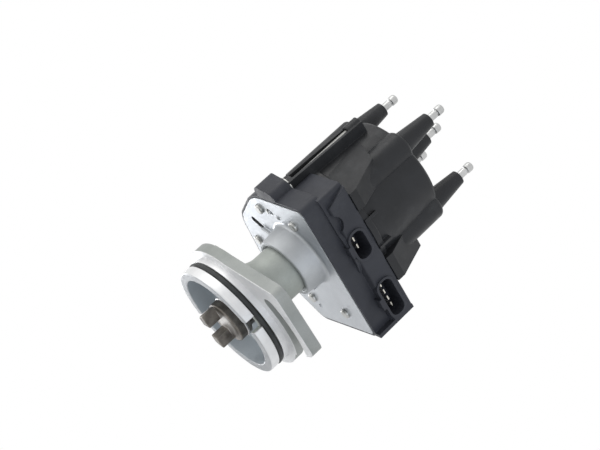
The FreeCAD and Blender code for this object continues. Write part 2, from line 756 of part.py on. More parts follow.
def base_shell(pins):
    outer = plate_wire(RIM_LIP + RIM_CLEARANCE)
    rim_z = PLATE_Z + RIM_STANDDOWN
    bay = prism(outer, rim_z, ROOF_TOP_Z)
    bowl = cylinder(BOWL_R, BAY_TOP_Z, BOWL_TOP_Z)
    corner = prism(
        outline([
            (0, CORNER_WALL_START_Y),
            (CORNER_WALL_X, CORNER_WALL_START_Y),
            (CORNER_WALL_X, CORNER_WALL_Y, CORNER_WALL_R),
            (0, CORNER_WALL_Y),
        ]),
        BAY_TOP_Z,
        BOWL_TOP_Z,
    )
    below_rim = box(-FAR, FAR, -FAR, FAR, PLATE_Z - CUT, rim_z)
    body = joined([bay, bowl, corner, connector_block(), leg_boss(1), leg_boss(-1)]).cut(below_rim)

    pocket = prism(plate_wire(RIM_CLEARANCE), PLATE_Z - CUT, BAY_FLOOR_Z)
    bay_cavity = prism(plate_wire(-GASKET_WIDTH), BAY_FLOOR_Z - CUT, BAY_TOP_Z)
    bowl_cavity = cylinder(BOWL_BORE_R, ROOF_TOP_Z, BOWL_TOP_Z + CUT).cut(
        box(-FAR, FAR, BOWL_FLAT_Y, FAR, ROOF_TOP_Z - CUT, BOWL_TOP_Z + 2 * CUT)
    )
    tube_hole = cylinder(TUBE_R + RIM_CLEARANCE, BAY_FLOOR_Z, ROOF_TOP_Z + CUT)
    body = body.cut([pocket, bay_cavity, bowl_cavity, tube_hole])

    posts = [cylinder(POST_R, PLATE_TOP_Z, BAY_TOP_Z, x, y) for x, y in PLATE_SCREWS_AT]
    for side in (1, -1):
        post = cylinder(BOSS_R, BAY_FLOOR_Z, BAY_TOP_Z, side * CAP_SCREW_X, 0)
        posts.append(post.common(prism(plate_wire(), BAY_FLOOR_Z, BAY_TOP_Z)))
    body = joined([body] + posts)

    holes = [
        cylinder(PLATE_SCREW_R, PLATE_TOP_Z - CUT, PLATE_TOP_Z + PLATE_SCREW_GRIP, x, y)
        for x, y in PLATE_SCREWS_AT
    ]
    for side in (1, -1):
        x = side * CAP_SCREW_X
        holes.append(cylinder(INSERT_R, LEG_SEAT_Z - INSERT_LENGTH, LEG_SEAT_Z + CUT, x, 0))
        holes.append(cylinder(CAP_SCREW_R + CAP_SCREW_CLEARANCE, CAP_SCREW_TIP_Z - CUT, LEG_SEAT_Z, x, 0))
    for angle in PICKUP_SCREW_ANGLES:
        x, y = polar(PICKUP_SCREW_CENTRE_R, angle)
        holes.append(cylinder(PICKUP_SCREW_R, BAY_TOP_Z, ROOF_TOP_Z + CUT, x, y))
    for x, width in (
        (POWER_SOCKET_X, POWER_SOCKET_WIDTH),
        (SIGNAL_SOCKET_X, SIGNAL_SOCKET_WIDTH),
    ):
        holes.append(socket_cavity(x, width, SOCKET_FLOOR_Y, BLOCK_Y + SHROUD_STANDOUT + CUT))
    holes.append(
        ring(
            SEAL_RING_R + SEAL_RING_WIDTH / 2,
            SEAL_RING_R - SEAL_RING_WIDTH / 2,
            BOWL_TOP_Z - SEAL_RING_DEPTH,
            BOWL_TOP_Z + CUT,
        )
    )
    return body.cut(holes + pins)


def socket_pins(x_middle, count):
    """Flat pins that run back from a socket and turn down through the bay roof into the board."""
    pins = []
    first = x_middle - (count - 1) * PIN_PITCH / 2
    half_t = PIN_THICKNESS / 2
    for i in range(count):
        x = first + i * PIN_PITCH
        blade = box(
            x - PIN_WIDTH / 2,
            x + PIN_WIDTH / 2,
            PIN_TAIL_Y,
            SOCKET_FLOOR_Y + PIN_REACH,
            SOCKET_Z - half_t,
            SOCKET_Z + half_t,
        )
        tail = box(
            x - PIN_WIDTH / 2,
            x + PIN_WIDTH / 2,
            PIN_TAIL_Y,
            PIN_TAIL_Y + PIN_THICKNESS,
            BOARD_Z,
            SOCKET_Z + half_t,
        )
        pins.append(joined([blade, tail]))
    return pins


def screw_inserts():
    inserts = []
    for side in (1, -1):
        x = side * CAP_SCREW_X
        bottom = LEG_SEAT_Z - INSERT_LENGTH
        middle = (bottom + LEG_SEAT_Z) / 2
        body = ring(INSERT_R, CAP_SCREW_R, bottom, LEG_SEAT_Z, x, 0)
        groove = ring(INSERT_R + CUT, INSERT_R - INSERT_KNURL_GROOVE, middle - CUT, middle + CUT, x, 0)
        inserts.append(body.cut(groove))
    return Part.makeCompound(inserts)


def cap_seal():
    return ring(
        SEAL_RING_R + SEAL_RING_WIDTH / 2,
        SEAL_RING_R - SEAL_RING_WIDTH / 2,
        BOWL_TOP_Z - SEAL_RING_DEPTH,
        BOWL_TOP_Z,
    )


# Module and wiring board in the bay
def ignition_module():
    width = MODULE_X[1] - MODULE_X[0]
    depth = MODULE_Y[1] - MODULE_Y[0]
    x = sum(MODULE_X) / 2
    y = sum(MODULE_Y) / 2
    footprint = outline(rounded_rectangle(width, depth, MODULE_CORNER_R, x, y))
    heat_plate = prism(footprint, PLATE_TOP_Z, PLATE_TOP_Z + 1.2)
    body = prism(
        outline(rounded_rectangle(width - 2.4, depth - 2.4, MODULE_CORNER_R - 1.2, x, y)),
        PLATE_TOP_Z + 1.2,
        PLATE_TOP_Z + MODULE_HEIGHT,
    )
    leads = []
    for i in range(MODULE_LEADS):
        lead_x = MODULE_X[1] - 3.0 - i * MODULE_LEAD_PITCH
        half = MODULE_LEAD_WIDTH / 2
        lead_y = MODULE_Y[1] - 1.8
        foot = PLATE_TOP_Z + MODULE_HEIGHT
        leads.append(box(lead_x - half, lead_x + half, lead_y - half, lead_y + half, foot, BOARD_TOP_Z))
    bodies = joined([heat_plate, body] + leads)
    return bodies.cut([
        cylinder(PLATE_SCREW_R, PLATE_TOP_Z - CUT, BOARD_TOP_Z, sx, sy) for sx, sy in MODULE_SCREWS_AT
    ])


def wiring_board(pins, module):
    board = prism(outline(BOARD_OUTLINE), BOARD_Z, BOARD_TOP_Z)
    clear = [
        cylinder(POST_R + BOARD_POST_CLEARANCE, BOARD_Z - CUT, BOARD_TOP_Z + CUT, x, y)
        for x, y in PLATE_SCREWS_AT
    ]
    return board.cut(clear + pins + [module])


# Bearings, seal and shaft group
def oil_seal():
    top = SEAL_Z + SEAL_LENGTH
    return turned([
        (UPPER_BUSH_R - SEAL_CASE, SEAL_Z),
        (UPPER_BUSH_R, SEAL_Z, 0.4),
        (UPPER_BUSH_R, top),
        (UPPER_BUSH_R - 2 * SEAL_CASE, top),
        (SHAFT_BORE_R + 0.9, top - SEAL_CASE),
        (SHAFT_BORE_R, SEAL_Z + SEAL_LIP_LENGTH + 0.8),
        (SHAFT_BORE_R, SEAL_Z + SEAL_LIP_LENGTH),
        (SHAFT_BORE_R + 0.9, SEAL_Z + 0.4),
        (UPPER_BUSH_R - SEAL_CASE, SEAL_Z + 2 * SEAL_CASE),
    ])


def cross_pin(radius, length, z):
    return Part.makeCylinder(radius, length, V(-length / 2, 0, z), V(1, 0, 0))


def coupling_pin():
    return cross_pin(COUPLING_PIN_R, 2 * (COUPLING_R - RETAINER_WIRE_R) - 0.4, COUPLING_PIN_Z)


def reluctor_pin():
    return cross_pin(RELUCTOR_PIN_R, 2 * RELUCTOR_HUB_R, RELUCTOR_Z + 2 * RELUCTOR_PIN_R)


def shaft():
    groove_r = SHAFT_R - CIRCLIP_GROOVE
    body = turned([
        (0, SHAFT_BOTTOM_Z),
        (SHAFT_R, SHAFT_BOTTOM_Z, 0.6),
        (SHAFT_R, CIRCLIP_Z),
        (groove_r, CIRCLIP_Z),
        (groove_r, CIRCLIP_Z + CIRCLIP_THICKNESS),
        (SHAFT_R, CIRCLIP_Z + CIRCLIP_THICKNESS),
        (SHAFT_R, SHAFT_SHOULDER_Z),
        (SHAFT_HEAD_R, SHAFT_SHOULDER_Z),
        (SHAFT_HEAD_R, SHAFT_TOP_Z, 0.6),
        (0, SHAFT_TOP_Z),
    ])
    flat = box(-FAR, -SHAFT_HEAD_R + SHAFT_FLAT_DEPTH, -FAR, FAR, ROTOR_BOTTOM_Z, FAR)
    return body.cut([flat, coupling_pin(), reluctor_pin()])


def drive_coupling():
    """Disc with two lugs on a line that lies beside the shaft axis, so it fits only one way round."""
    disc_top = COUPLING_Z + COUPLING_DISC
    groove_z = COUPLING_PIN_Z
    wire = RETAINER_WIRE_R
    body = turned([
        (0, COUPLING_Z),
        (COUPLING_R, COUPLING_Z, COUPLING_CHAMFER),
        (COUPLING_R, groove_z - wire),
        (COUPLING_R - wire, groove_z - wire),
        (COUPLING_R - wire, groove_z + wire),
        (COUPLING_R, groove_z + wire),
        (COUPLING_R, disc_top, COUPLING_CHAMFER),
        (COUPLING_HUB_R, disc_top + 0.6),
        (COUPLING_HUB_R, WASHER_Z),
        (0, WASHER_Z),
    ])
    bar = box(
        -COUPLING_R,
        COUPLING_R,
        LUG_OFFSET_Y - LUG_WIDTH / 2,
        LUG_OFFSET_Y + LUG_WIDTH / 2,
        COUPLING_Z - LUG_LENGTH,
        COUPLING_Z + CUT,
    ).common(cylinder(COUPLING_R - COUPLING_CHAMFER, COUPLING_Z - LUG_LENGTH, COUPLING_Z + CUT))
    gap = box(
        LUG_GAP_X - LUG_GAP / 2,
        LUG_GAP_X + LUG_GAP / 2,
        -COUPLING_R,
        COUPLING_R,
        COUPLING_Z - LUG_LENGTH - CUT,
        COUPLING_Z,
    )
    lugs = bar.cut(gap)
    ends = [edge for edge in lugs.Edges if edge.CenterOfMass.z < COUPLING_Z - LUG_LENGTH + 1e-6]
    lugs = lugs.makeFillet(LUG_EDGE_R, ends)
    bore = cylinder(SHAFT_R, SHAFT_BOTTOM_Z, WASHER_Z + CUT)
    return joined([body, lugs]).cut([bore, coupling_pin()])


def coupling_spring():
    """Wire ring that lies in the coupling's groove and keeps the pin in."""
    return Part.makeTorus(COUPLING_R, RETAINER_WIRE_R, V(0, 0, COUPLING_PIN_Z))


def circlip():
    clip = ring(CIRCLIP_R, SHAFT_R - CIRCLIP_GROOVE, CIRCLIP_Z, CIRCLIP_Z + CIRCLIP_THICKNESS)
    gap = box(
        0,
        CIRCLIP_R + CUT,
        -CIRCLIP_GAP_WIDTH / 2,
        CIRCLIP_GAP_WIDTH / 2,
        CIRCLIP_Z - CUT,
        CIRCLIP_Z + CIRCLIP_THICKNESS + CUT,
    )
    return clip.cut(gap)


# Pickup
def toothed_ring(inner, outer, root, tooth, bottom, top, first_angle):
    """Ring between inner and root radii with teeth that reach out to the outer radius."""
    teeth = []
    for i in range(TEETH):
        bar = box(root - CUT, outer + CUT, -tooth / 2, tooth / 2, bottom, top)
        teeth.append(about_z(bar, first_angle + i * 360.0 / TEETH))
    body = joined([cylinder(root, bottom, top)] + teeth).common(cylinder(outer, bottom, top))
    return body.cut(cylinder(inner, bottom - CUT, top + CUT))


def reluctor():
    tooth_z = SHAFT_SHOULDER_Z - POLE_TOOTH_RISE - POLE_PLATE
    hub = ring(RELUCTOR_HUB_R, SHAFT_R, RELUCTOR_Z, SHAFT_SHOULDER_Z)
    star = toothed_ring(SHAFT_R, RELUCTOR_R, RELUCTOR_HUB_R, RELUCTOR_TOOTH, tooth_z, SHAFT_SHOULDER_Z, 45.0)
    return joined([hub, star]).cut(reluctor_pin())


def pickup_screw_places():
    return [polar(PICKUP_SCREW_CENTRE_R, angle) for angle in PICKUP_SCREW_ANGLES]


def pickup_base():
    plate = ring(PICKUP_R, PICKUP_BORE_R, PICKUP_Z, COIL_Z)
    return plate.cut([
        cylinder(PICKUP_SCREW_R, PICKUP_Z - CUT, COIL_Z + CUT, x, y) for x, y in pickup_screw_places()
    ])


def pickup_bobbin():
    return turned([
        (POLE_TOOTH_ROOT_R, COIL_Z),
        (BOBBIN_R, COIL_Z),
        (BOBBIN_R, COIL_Z + BOBBIN_WALL),
        (POLE_TOOTH_ROOT_R + BOBBIN_WALL, COIL_Z + BOBBIN_WALL),
        (POLE_TOOTH_ROOT_R + BOBBIN_WALL, POLE_Z - BOBBIN_WALL),
        (BOBBIN_R, POLE_Z - BOBBIN_WALL),
        (BOBBIN_R, POLE_Z),
        (POLE_TOOTH_ROOT_R, POLE_Z),
    ])


def pickup_winding():
    return ring(
        BOBBIN_R - BOBBIN_WALL / 2,
        POLE_TOOTH_ROOT_R + BOBBIN_WALL,
        COIL_Z + BOBBIN_WALL,
        POLE_Z - BOBBIN_WALL,
    )


def ring_magnet():
    magnet = ring(PICKUP_R, MAGNET_BORE_R, COIL_Z, POLE_Z)
    return magnet.cut([
        cylinder(PICKUP_SCREW_R, COIL_Z - CUT, POLE_Z + CUT, x, y) for x, y in pickup_screw_places()
    ])


def pole_piece():
    inner = RELUCTOR_R + PICKUP_AIR_GAP
    plate = ring(PICKUP_R, POLE_TOOTH_ROOT_R, POLE_Z, POLE_TOP_Z)
    teeth = []
    for i in range(TEETH):
        tooth = box(
            inner,
            POLE_TOOTH_ROOT_R + CUT,
            -POLE_TOOTH_WIDTH / 2,
            POLE_TOOTH_WIDTH / 2,
            POLE_Z,
            POLE_TOP_Z,
        )
        riser = box(
            inner,
            inner + POLE_PLATE,
            -POLE_TOOTH_WIDTH / 2,
            POLE_TOOTH_WIDTH / 2,
            POLE_Z,
            POLE_TOP_Z + POLE_TOOTH_RISE,
        )
        claw = joined([tooth, riser]).cut(cylinder(inner, POLE_Z - CUT, FAR))
        teeth.append(about_z(claw, i * 360.0 / TEETH))
    return joined([plate] + teeth).cut([
        cylinder(PICKUP_SCREW_R, POLE_Z - CUT, POLE_TOP_Z + CUT, x, y) for x, y in pickup_screw_places()
    ])


def pickup_screws():
    screws = []
    for x, y in pickup_screw_places():
        head = dome_head(PICKUP_SCREW_HEAD_R, PICKUP_SCREW_HEAD, POLE_TOP_Z)
        head.translate(V(x, y, 0))
        slot = box(
            x - PICKUP_SCREW_HEAD_R,
            x + PICKUP_SCREW_HEAD_R,
            y - 0.3,
            y + 0.3,
            POLE_TOP_Z + PICKUP_SCREW_HEAD / 2,
            FAR,
        )
        screws.append(joined([head, cylinder(PICKUP_SCREW_R, BAY_TOP_Z, POLE_TOP_Z, x, y)]).cut(slot))
    return Part.makeCompound(screws)


def dust_shield():
    top = BOWL_TOP_Z + SHIELD_THICKNESS
    return turned([
        (SHIELD_BORE_R, BOWL_TOP_Z),
        (SHIELD_R, BOWL_TOP_Z),
        (SHIELD_R, top),
        (SHIELD_BORE_R + SHIELD_THICKNESS, top),
        (SHIELD_BORE_R + SHIELD_THICKNESS, top + SHIELD_RIM_HEIGHT),
        (SHIELD_BORE_R, top + SHIELD_RIM_HEIGHT),
    ])


# Rotor
def rotor_body():
    bore_top = SHAFT_TOP_Z + ROTOR_FIT
    disc_top = ROTOR_DISC_Z + ROTOR_DISC
    hub = cone(ROTOR_HUB_R, ROTOR_HUB_R + 1.0, ROTOR_BOTTOM_Z, ROTOR_DISC_Z)
    disc = turned([
        (0, ROTOR_DISC_Z),
        (ROTOR_DISC_R, ROTOR_DISC_Z, 0.8),
        (ROTOR_DISC_R, disc_top, 0.8),
        (0, disc_top),
    ])
    boss = cone(ROTOR_BOSS_R + 1.2, ROTOR_BOSS_R, disc_top, ROTOR_DECK_Z)
    arm = along_x(
        [
            (-ROTOR_ARM_WIDTH / 2, disc_top),
            (ROTOR_ARM_WIDTH / 2, disc_top),
            (ROTOR_ARM_WIDTH / 2 - 1.4, ROTOR_DECK_Z, 0.8),
            (-ROTOR_ARM_WIDTH / 2 + 1.4, ROTOR_DECK_Z, 0.8),
        ],
        0,
        ROTOR_ARM_LENGTH,
    ).common(cylinder(ROTOR_ARM_LENGTH, disc_top, ROTOR_DECK_Z))
    weight = ring(ROTOR_WEIGHT_R, ROTOR_WEIGHT_BORE_R, disc_top, disc_top + ROTOR_WEIGHT_HEIGHT)
    weight = weight.common(box(-FAR, 0, -FAR, FAR, disc_top, disc_top + ROTOR_WEIGHT_HEIGHT))
    web = box(-ROTOR_WEIGHT_BORE_R - CUT, 0, -1.2, 1.2, disc_top, disc_top + ROTOR_WEIGHT_HEIGHT)
    bore = cylinder(SHAFT_HEAD_R, ROTOR_BOTTOM_Z - CUT, bore_top).cut(
        box(-FAR, -SHAFT_HEAD_R + SHAFT_FLAT_DEPTH, -FAR, FAR, ROTOR_BOTTOM_Z - 2 * CUT, bore_top + CUT)
    )
    rivet_hole = cylinder(RIVET_R, ROTOR_DECK_Z - RIVET_DEPTH, FAR, RIVET_X, 0)
    return joined([hub, disc, boss, arm, weight, web]).cut([bore, rivet_hole])


def rotor_blade():
    half = BLADE_WIDTH / 2
    tip = BLADE_TIP_WIDTH / 2
    shoulder_x = BLADE_TIP_R - BLADE_TIP_LENGTH
    sheet = prism(
        outline([
            (-half, -half, half - 0.1),
            (-half, half, half - 0.1),
            (shoulder_x - BLADE_SHOULDER, half, 1.5),
            (shoulder_x, tip, 0.6),
            (BLADE_TIP_R + CUT, tip),
            (BLADE_TIP_R + CUT, -tip),
            (shoulder_x, -tip, 0.6),
            (shoulder_x - BLADE_SHOULDER, -half, 1.5),
        ]),
        ROTOR_DECK_Z,
        BLADE_TOP_Z,
    )
    sheet = sheet.common(cylinder(BLADE_TIP_R, ROTOR_DECK_Z, BLADE_TOP_Z))
    return sheet.cut(cylinder(RIVET_R, ROTOR_DECK_Z - CUT, BLADE_TOP_Z + CUT, RIVET_X, 0))


def rotor_contact():
    """Leaf spring that is riveted on the blade and rises to the carbon brush."""
    t = CONTACT_THICKNESS
    low = BLADE_TOP_Z
    high = CONTACT_TOP_Z
    rise_x = RIVET_X - RIVET_HEAD_R - CONTACT_RIVET_GAP
    strip = along_y(
        [
            (CONTACT_ROOT_X, low),
            (CONTACT_ROOT_X, low + t),
            (rise_x, low + t, CONTACT_ROOT_R),
            (CONTACT_PAD_X, high, CONTACT_BEND_R),
            (-CONTACT_PAD_X, high, CONTACT_BEND_R),
            (-CONTACT_PAD_X - CONTACT_TIP, high - CONTACT_TIP),
            (-CONTACT_PAD_X - CONTACT_TIP + t, high - CONTACT_TIP - t),
            (-CONTACT_PAD_X + t / 2, high - t, CONTACT_BEND_R - t),
            (CONTACT_PAD_X - t / 2, high - t, CONTACT_BEND_R - t),
            (rise_x - t, low, CONTACT_ROOT_R + t),
        ],
        -CONTACT_WIDTH / 2,
        CONTACT_WIDTH / 2,
    )
    return strip.cut(cylinder(RIVET_R, low - CUT, low + 2 * CUT, RIVET_X, 0))


def rotor_rivet():
    top = BLADE_TOP_Z + CONTACT_THICKNESS
    head = dome_head(RIVET_HEAD_R, RIVET_HEAD, top)
    head.translate(V(RIVET_X, 0, 0))
    return joined([head, cylinder(RIVET_R, ROTOR_DECK_Z - RIVET_DEPTH, top, RIVET_X, 0)])


# Terminals: moulded into the cap, with a plug-on head above each tower
def terminal(tip_z, stem_bottom):
    collar_top = tip_z + TERMINAL_COLLAR
    shank_top = collar_top + TERMINAL_SHANK
    waist_top = shank_top + TERMINAL_WAIST
    head_top = waist_top + TERMINAL_HEAD
    return turned([
        (0, stem_bottom),
        (STEM_R, stem_bottom),
        (STEM_R, tip_z),
        (TERMINAL_COLLAR_R, tip_z),
        (TERMINAL_COLLAR_R, collar_top, 0.3),
        (TERMINAL_SHANK_R, collar_top),
        (TERMINAL_SHANK_R, shank_top),
        (TERMINAL_WAIST_R, shank_top + 0.2),
        (TERMINAL_WAIST_R, waist_top - 0.2),
        (TERMINAL_HEAD_R, waist_top, 0.4),
        (TERMINAL_HEAD_R, head_top, 1.6),
        (0, head_top),
    ])


def outer_terminal(angle):
    pin = terminal(TOWER_TIP_Z, ELECTRODE_BOSS_Z + 1.0)
    pin.translate(V(TOWER_CENTRE_R, 0, 0))
    half = ELECTRODE_WIDTH / 2
    electrode = box(
        ELECTRODE_FACE_R,
        ELECTRODE_BACK_R,
        -half,
        half,
        ELECTRODE_BOSS_Z - ELECTRODE_HEIGHT,
        ELECTRODE_BOSS_Z + ELECTRODE_ROOT,
    ).cut(cylinder(ELECTRODE_FACE_R, 0, FAR))
    return about_z(joined([pin, electrode]), angle)


def centre_terminal():
    return terminal(CENTRE_TOWER_TIP_Z, CENTRE_STEM_Z)


# Cap
def cap_leg():
    """Screw channel on the +X side: floor, two ribs, an ear for the head and a foot on the base."""
    side = LEG_HALF_WIDTH
    inner_x = CAP_BORE_R + 1.0
    floor_x = CAP_SCREW_X - CAP_SCREW_R - CAP_SCREW_CLEARANCE
    channel = box(inner_x, floor_x, -side, side, LEG_SEAT_Z, LEG_TOP_Z)
    ribs = []
    for overhang, y_min in ((LEG_NEAR_RIB_OVERHANG, side - LEG_RIB), (LEG_FAR_RIB_OVERHANG, -side)):
        outer_x = CAP_SCREW_X + overhang
        profile = [
            (inner_x, LEG_SEAT_Z),
            (outer_x, LEG_SEAT_Z),
            (outer_x - LEG_DRAFT, LEG_TOP_Z),
            (inner_x, LEG_TOP_Z),
        ]
        ribs.append(along_y(profile, y_min, y_min + LEG_RIB))
    ear_ring = cylinder(LEG_EAR_R, LEG_TOP_Z - LEG_EAR_HEIGHT, LEG_TOP_Z, CAP_SCREW_X, 0)
    foot = cylinder(LEG_EAR_R, LEG_SEAT_Z, LEG_SEAT_Z + LEG_FOOT_HEIGHT, CAP_SCREW_X, 0)
    body = joined([channel, ear_ring, foot] + ribs)
    body = body.cut(cylinder(BOWL_R + LEG_BOWL_CLEARANCE, LEG_SEAT_Z - CUT, BOWL_TOP_Z))
    shank = cylinder(CAP_SCREW_R + CAP_SCREW_CLEARANCE, LEG_SEAT_Z - CUT, LEG_TOP_Z, CAP_SCREW_X, 0)
    head = cylinder(CAP_SCREW_HEAD_R + CAP_SCREW_CLEARANCE, CAP_SCREW_HEAD_Z, LEG_TOP_Z + CUT, CAP_SCREW_X, 0)
    return body, [shank, head]


def buttress(inner_x, back_x, front_x):
    """Box rib round the foot of a front tower's column, with a front that slopes back as it rises."""
    plan = prism(
        outline([(inner_x, 0), (back_x, 0), (front_x, BUTTRESS_FRONT_Y), (inner_x, BUTTRESS_FRONT_Y)]),
        BOWL_TOP_Z,
        BUTTRESS_TOP_Z,
    )
    profile = along_x(
        [
            (0, BOWL_TOP_Z),
            (BUTTRESS_FRONT_Y, BOWL_TOP_Z),
            (BUTTRESS_FRONT_Y, BOWL_TOP_Z + BUTTRESS_STEP),
            BUTTRESS_KNEE,
            (0, BUTTRESS_TOP_Z),
        ],
        -BOWL_R,
        BOWL_R,
    )
    return plan.common(profile)


def cap(terminals):
    foot_top = BOWL_TOP_Z + CAP_FOOT_HEIGHT
    shell = turned([
        (0, BOWL_TOP_Z),
        (CAP_FOOT_R, BOWL_TOP_Z),
        (CAP_FOOT_R, foot_top, 0.8),
        (CAP_BOTTOM_R, foot_top, 0.8),
        (CAP_TOP_R, CAP_TOP_Z, CAP_EDGE_R),
        (CENTRE_TOWER_ROOT_R, CAP_TOP_Z + CAP_CROWN),
        (0, CAP_TOP_Z + CAP_CROWN),
    ])
    parts = [shell, buttress(*BUTTRESS_RIGHT), buttress(*BUTTRESS_LEFT)]
    for angle in TOWER_ANGLES:
        x, y = polar(TOWER_CENTRE_R, angle)
        column = turned([
            (0, BOWL_TOP_Z),
            (COLUMN_R, BOWL_TOP_Z),
            (COLUMN_R, CAP_TOP_Z, CAP_EDGE_R),
            (TOWER_ROOT_R, CAP_TOP_Z),
            (TOWER_TIP_R, TOWER_TIP_Z),
            (0, TOWER_TIP_Z),
        ])
        column.translate(V(x, y, 0))
        parts.append(column)
    parts.append(cone(CENTRE_TOWER_ROOT_R, TOWER_TIP_R, CAP_TOP_Z, CENTRE_TOWER_TIP_Z))
    rib_r = CAP_FOOT_R + CAP_RIB_STANDOUT
    for angle in CAP_RIB_ANGLES:
        rib = box(
            CAP_TOP_R - 2 * CUT,
            rib_r,
            -CAP_RIB_WIDTH / 2,
            CAP_RIB_WIDTH / 2,
            BOWL_TOP_Z,
            BOWL_TOP_Z + CAP_RIB_HEIGHT,
        )
        parts.append(about_z(rib, angle))
    leg, leg_holes = cap_leg()
    for angle in (0, 180):
        parts.append(about_z(leg, angle))
    body = joined(parts)

    cavity = turned([
        (0, BOWL_TOP_Z - CUT),
        (CAP_REGISTER_R, BOWL_TOP_Z - CUT),
        (CAP_REGISTER_R, BOWL_TOP_Z + CAP_REGISTER_HEIGHT),
        (CAP_BORE_R, BOWL_TOP_Z + CAP_REGISTER_HEIGHT + 1.0),
        (CAP_BORE_R, CAP_INSIDE_Z, CAP_INSIDE_R),
        (0, CAP_INSIDE_Z),
    ])
    body = body.cut(cavity)
    bosses = [cylinder(BRUSH_BOSS_R, BRUSH_BOSS_Z, CAP_INSIDE_Z + CUT)]
    for angle in TOWER_ANGLES:
        x, y = polar(TOWER_CENTRE_R, angle)
        bosses.append(cylinder(ELECTRODE_BOSS_R, ELECTRODE_BOSS_Z, CAP_INSIDE_Z + CUT, x, y))
    body = joined([body] + bosses)
    holes = [cylinder(BRUSH_R + BRUSH_FIT, BRUSH_BOSS_Z - CUT, CENTRE_STEM_Z)]
    for angle in (0, 180):
        holes.extend(about_z(hole, angle) for hole in leg_holes)
    return body.cut(holes + terminals)


def cap_screw(side):
    x = side * CAP_SCREW_X
    head = dome_head(CAP_SCREW_HEAD_R, CAP_SCREW_HEAD, CAP_SCREW_HEAD_Z)
    head.translate(V(x, 0, 0))
    slot = box(
        x - CAP_SCREW_HEAD_R,
        x + CAP_SCREW_HEAD_R,
        -DRIVE_SLOT_WIDTH / 2,
        DRIVE_SLOT_WIDTH / 2,
        CAP_SCREW_HEAD_Z + CAP_SCREW_HEAD - DRIVE_SLOT_DEPTH,
        FAR,
    )
    return joined([head, cylinder(CAP_SCREW_R, CAP_SCREW_TIP_Z, CAP_SCREW_HEAD_Z, x, 0)]).cut(slot)


# Carbon brush and spring
def carbon_brush():
    return turned([
        (0, BRUSH_Z),
        (BRUSH_R, BRUSH_Z, 1.0),
        (BRUSH_R, BRUSH_TOP_Z),
        (0, BRUSH_TOP_Z),
    ])


def brush_spring():
    """Coil lofted through many-sided sections of the wire."""
    clear = BRUSH_SPRING_WIRE_R + BRUSH_SPRING_END_GAP
    bottom = BRUSH_TOP_Z + clear
    height = CENTRE_STEM_Z - clear - bottom
    count = BRUSH_SPRING_TURNS * BRUSH_SPRING_STEPS
    sections = []
    for i in range(count + 1):
        corners = []
        for side in range(BRUSH_SPRING_SIDES):
            out, up = polar(BRUSH_SPRING_WIRE_R, side * 360.0 / BRUSH_SPRING_SIDES)
            x, y = polar(BRUSH_SPRING_R + out, i * 360.0 / BRUSH_SPRING_STEPS)
            corners.append(V(x, y, bottom + height * i / count + up))
        sections.append(Part.makePolygon(corners + corners[:1]))
    return Part.makeLoft(sections, True, True)


def main():
    os.makedirs("parts", exist_ok=True)
    power_pins = socket_pins(POWER_SOCKET_X, 2)
    signal_pins = socket_pins(SIGNAL_SOCKET_X, 4)
    pins = power_pins + signal_pins
    module = ignition_module()
    terminals = [outer_terminal(angle) for angle in TOWER_ANGLES]
    centre = centre_terminal()

    export("housing", housing())
    export("top_plate", top_plate())
    export("pilot_o_ring", pilot_o_ring())
    export("lower_bush", ring(LOWER_BUSH_R, SHAFT_BORE_R, CUP_FLOOR_Z, LOWER_BUSH_TOP_Z))
    export("upper_bush", ring(UPPER_BUSH_R, SHAFT_BORE_R, TUBE_TOP_Z - UPPER_BUSH_LENGTH, TUBE_TOP_Z))
    export("oil_seal", oil_seal())

    export("plate_gasket", plate_gasket())
    export("plate_screws", screws_from_below(PLATE_SCREWS_AT, PLATE_TOP_Z + PLATE_SCREW_GRIP))
    export("module_screws", screws_from_below(MODULE_SCREWS_AT, PLATE_TOP_Z + MODULE_HEIGHT))
    export("base_shell", base_shell(pins))
    export("ignition_module", module)
    export("wiring_board", wiring_board(pins, module))
    export("power_pins", Part.makeCompound(power_pins))
    export("signal_pins", Part.makeCompound(signal_pins))
    export("screw_inserts", screw_inserts())
    export("cap_seal", cap_seal())

    export("shaft", shaft())
    export("drive_coupling", drive_coupling())
    export("coupling_pin", coupling_pin())
    export("coupling_spring", coupling_spring())
    export("lower_thrust_washer", ring(WASHER_R, SHAFT_BORE_R, WASHER_Z, WASHER_Z + WASHER_THICKNESS))
    export("upper_thrust_washer", ring(WASHER_R, SHAFT_BORE_R, UPPER_WASHER_Z, CIRCLIP_Z))
    export("shaft_circlip", circlip())
    export("reluctor", reluctor())
    export("reluctor_pin", reluctor_pin())

    export("pickup_base", pickup_base())
    export("pickup_bobbin", pickup_bobbin())
    export("pickup_winding", pickup_winding())
    export("ring_magnet", ring_magnet())
    export("pole_piece", pole_piece())
    export("pickup_screws", pickup_screws())
    export("dust_shield", dust_shield())

    export("rotor_body", rotor_body())
    export("rotor_blade", rotor_blade())
    export("rotor_contact", rotor_contact())
    export("rotor_rivet", rotor_rivet())

    export("cap", cap(terminals + [centre]))
    for number, shape in enumerate(terminals, start=1):
        export("outer_terminal_" + str(number), shape)
    export("centre_terminal", centre)
    export("cap_screw_right", cap_screw(1))
    export("cap_screw_left", cap_screw(-1))
    export("carbon_brush", carbon_brush())
    export("brush_spring", brush_spring())


main()
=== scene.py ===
import bpy
import json
import math
from mathutils import Matrix, Vector


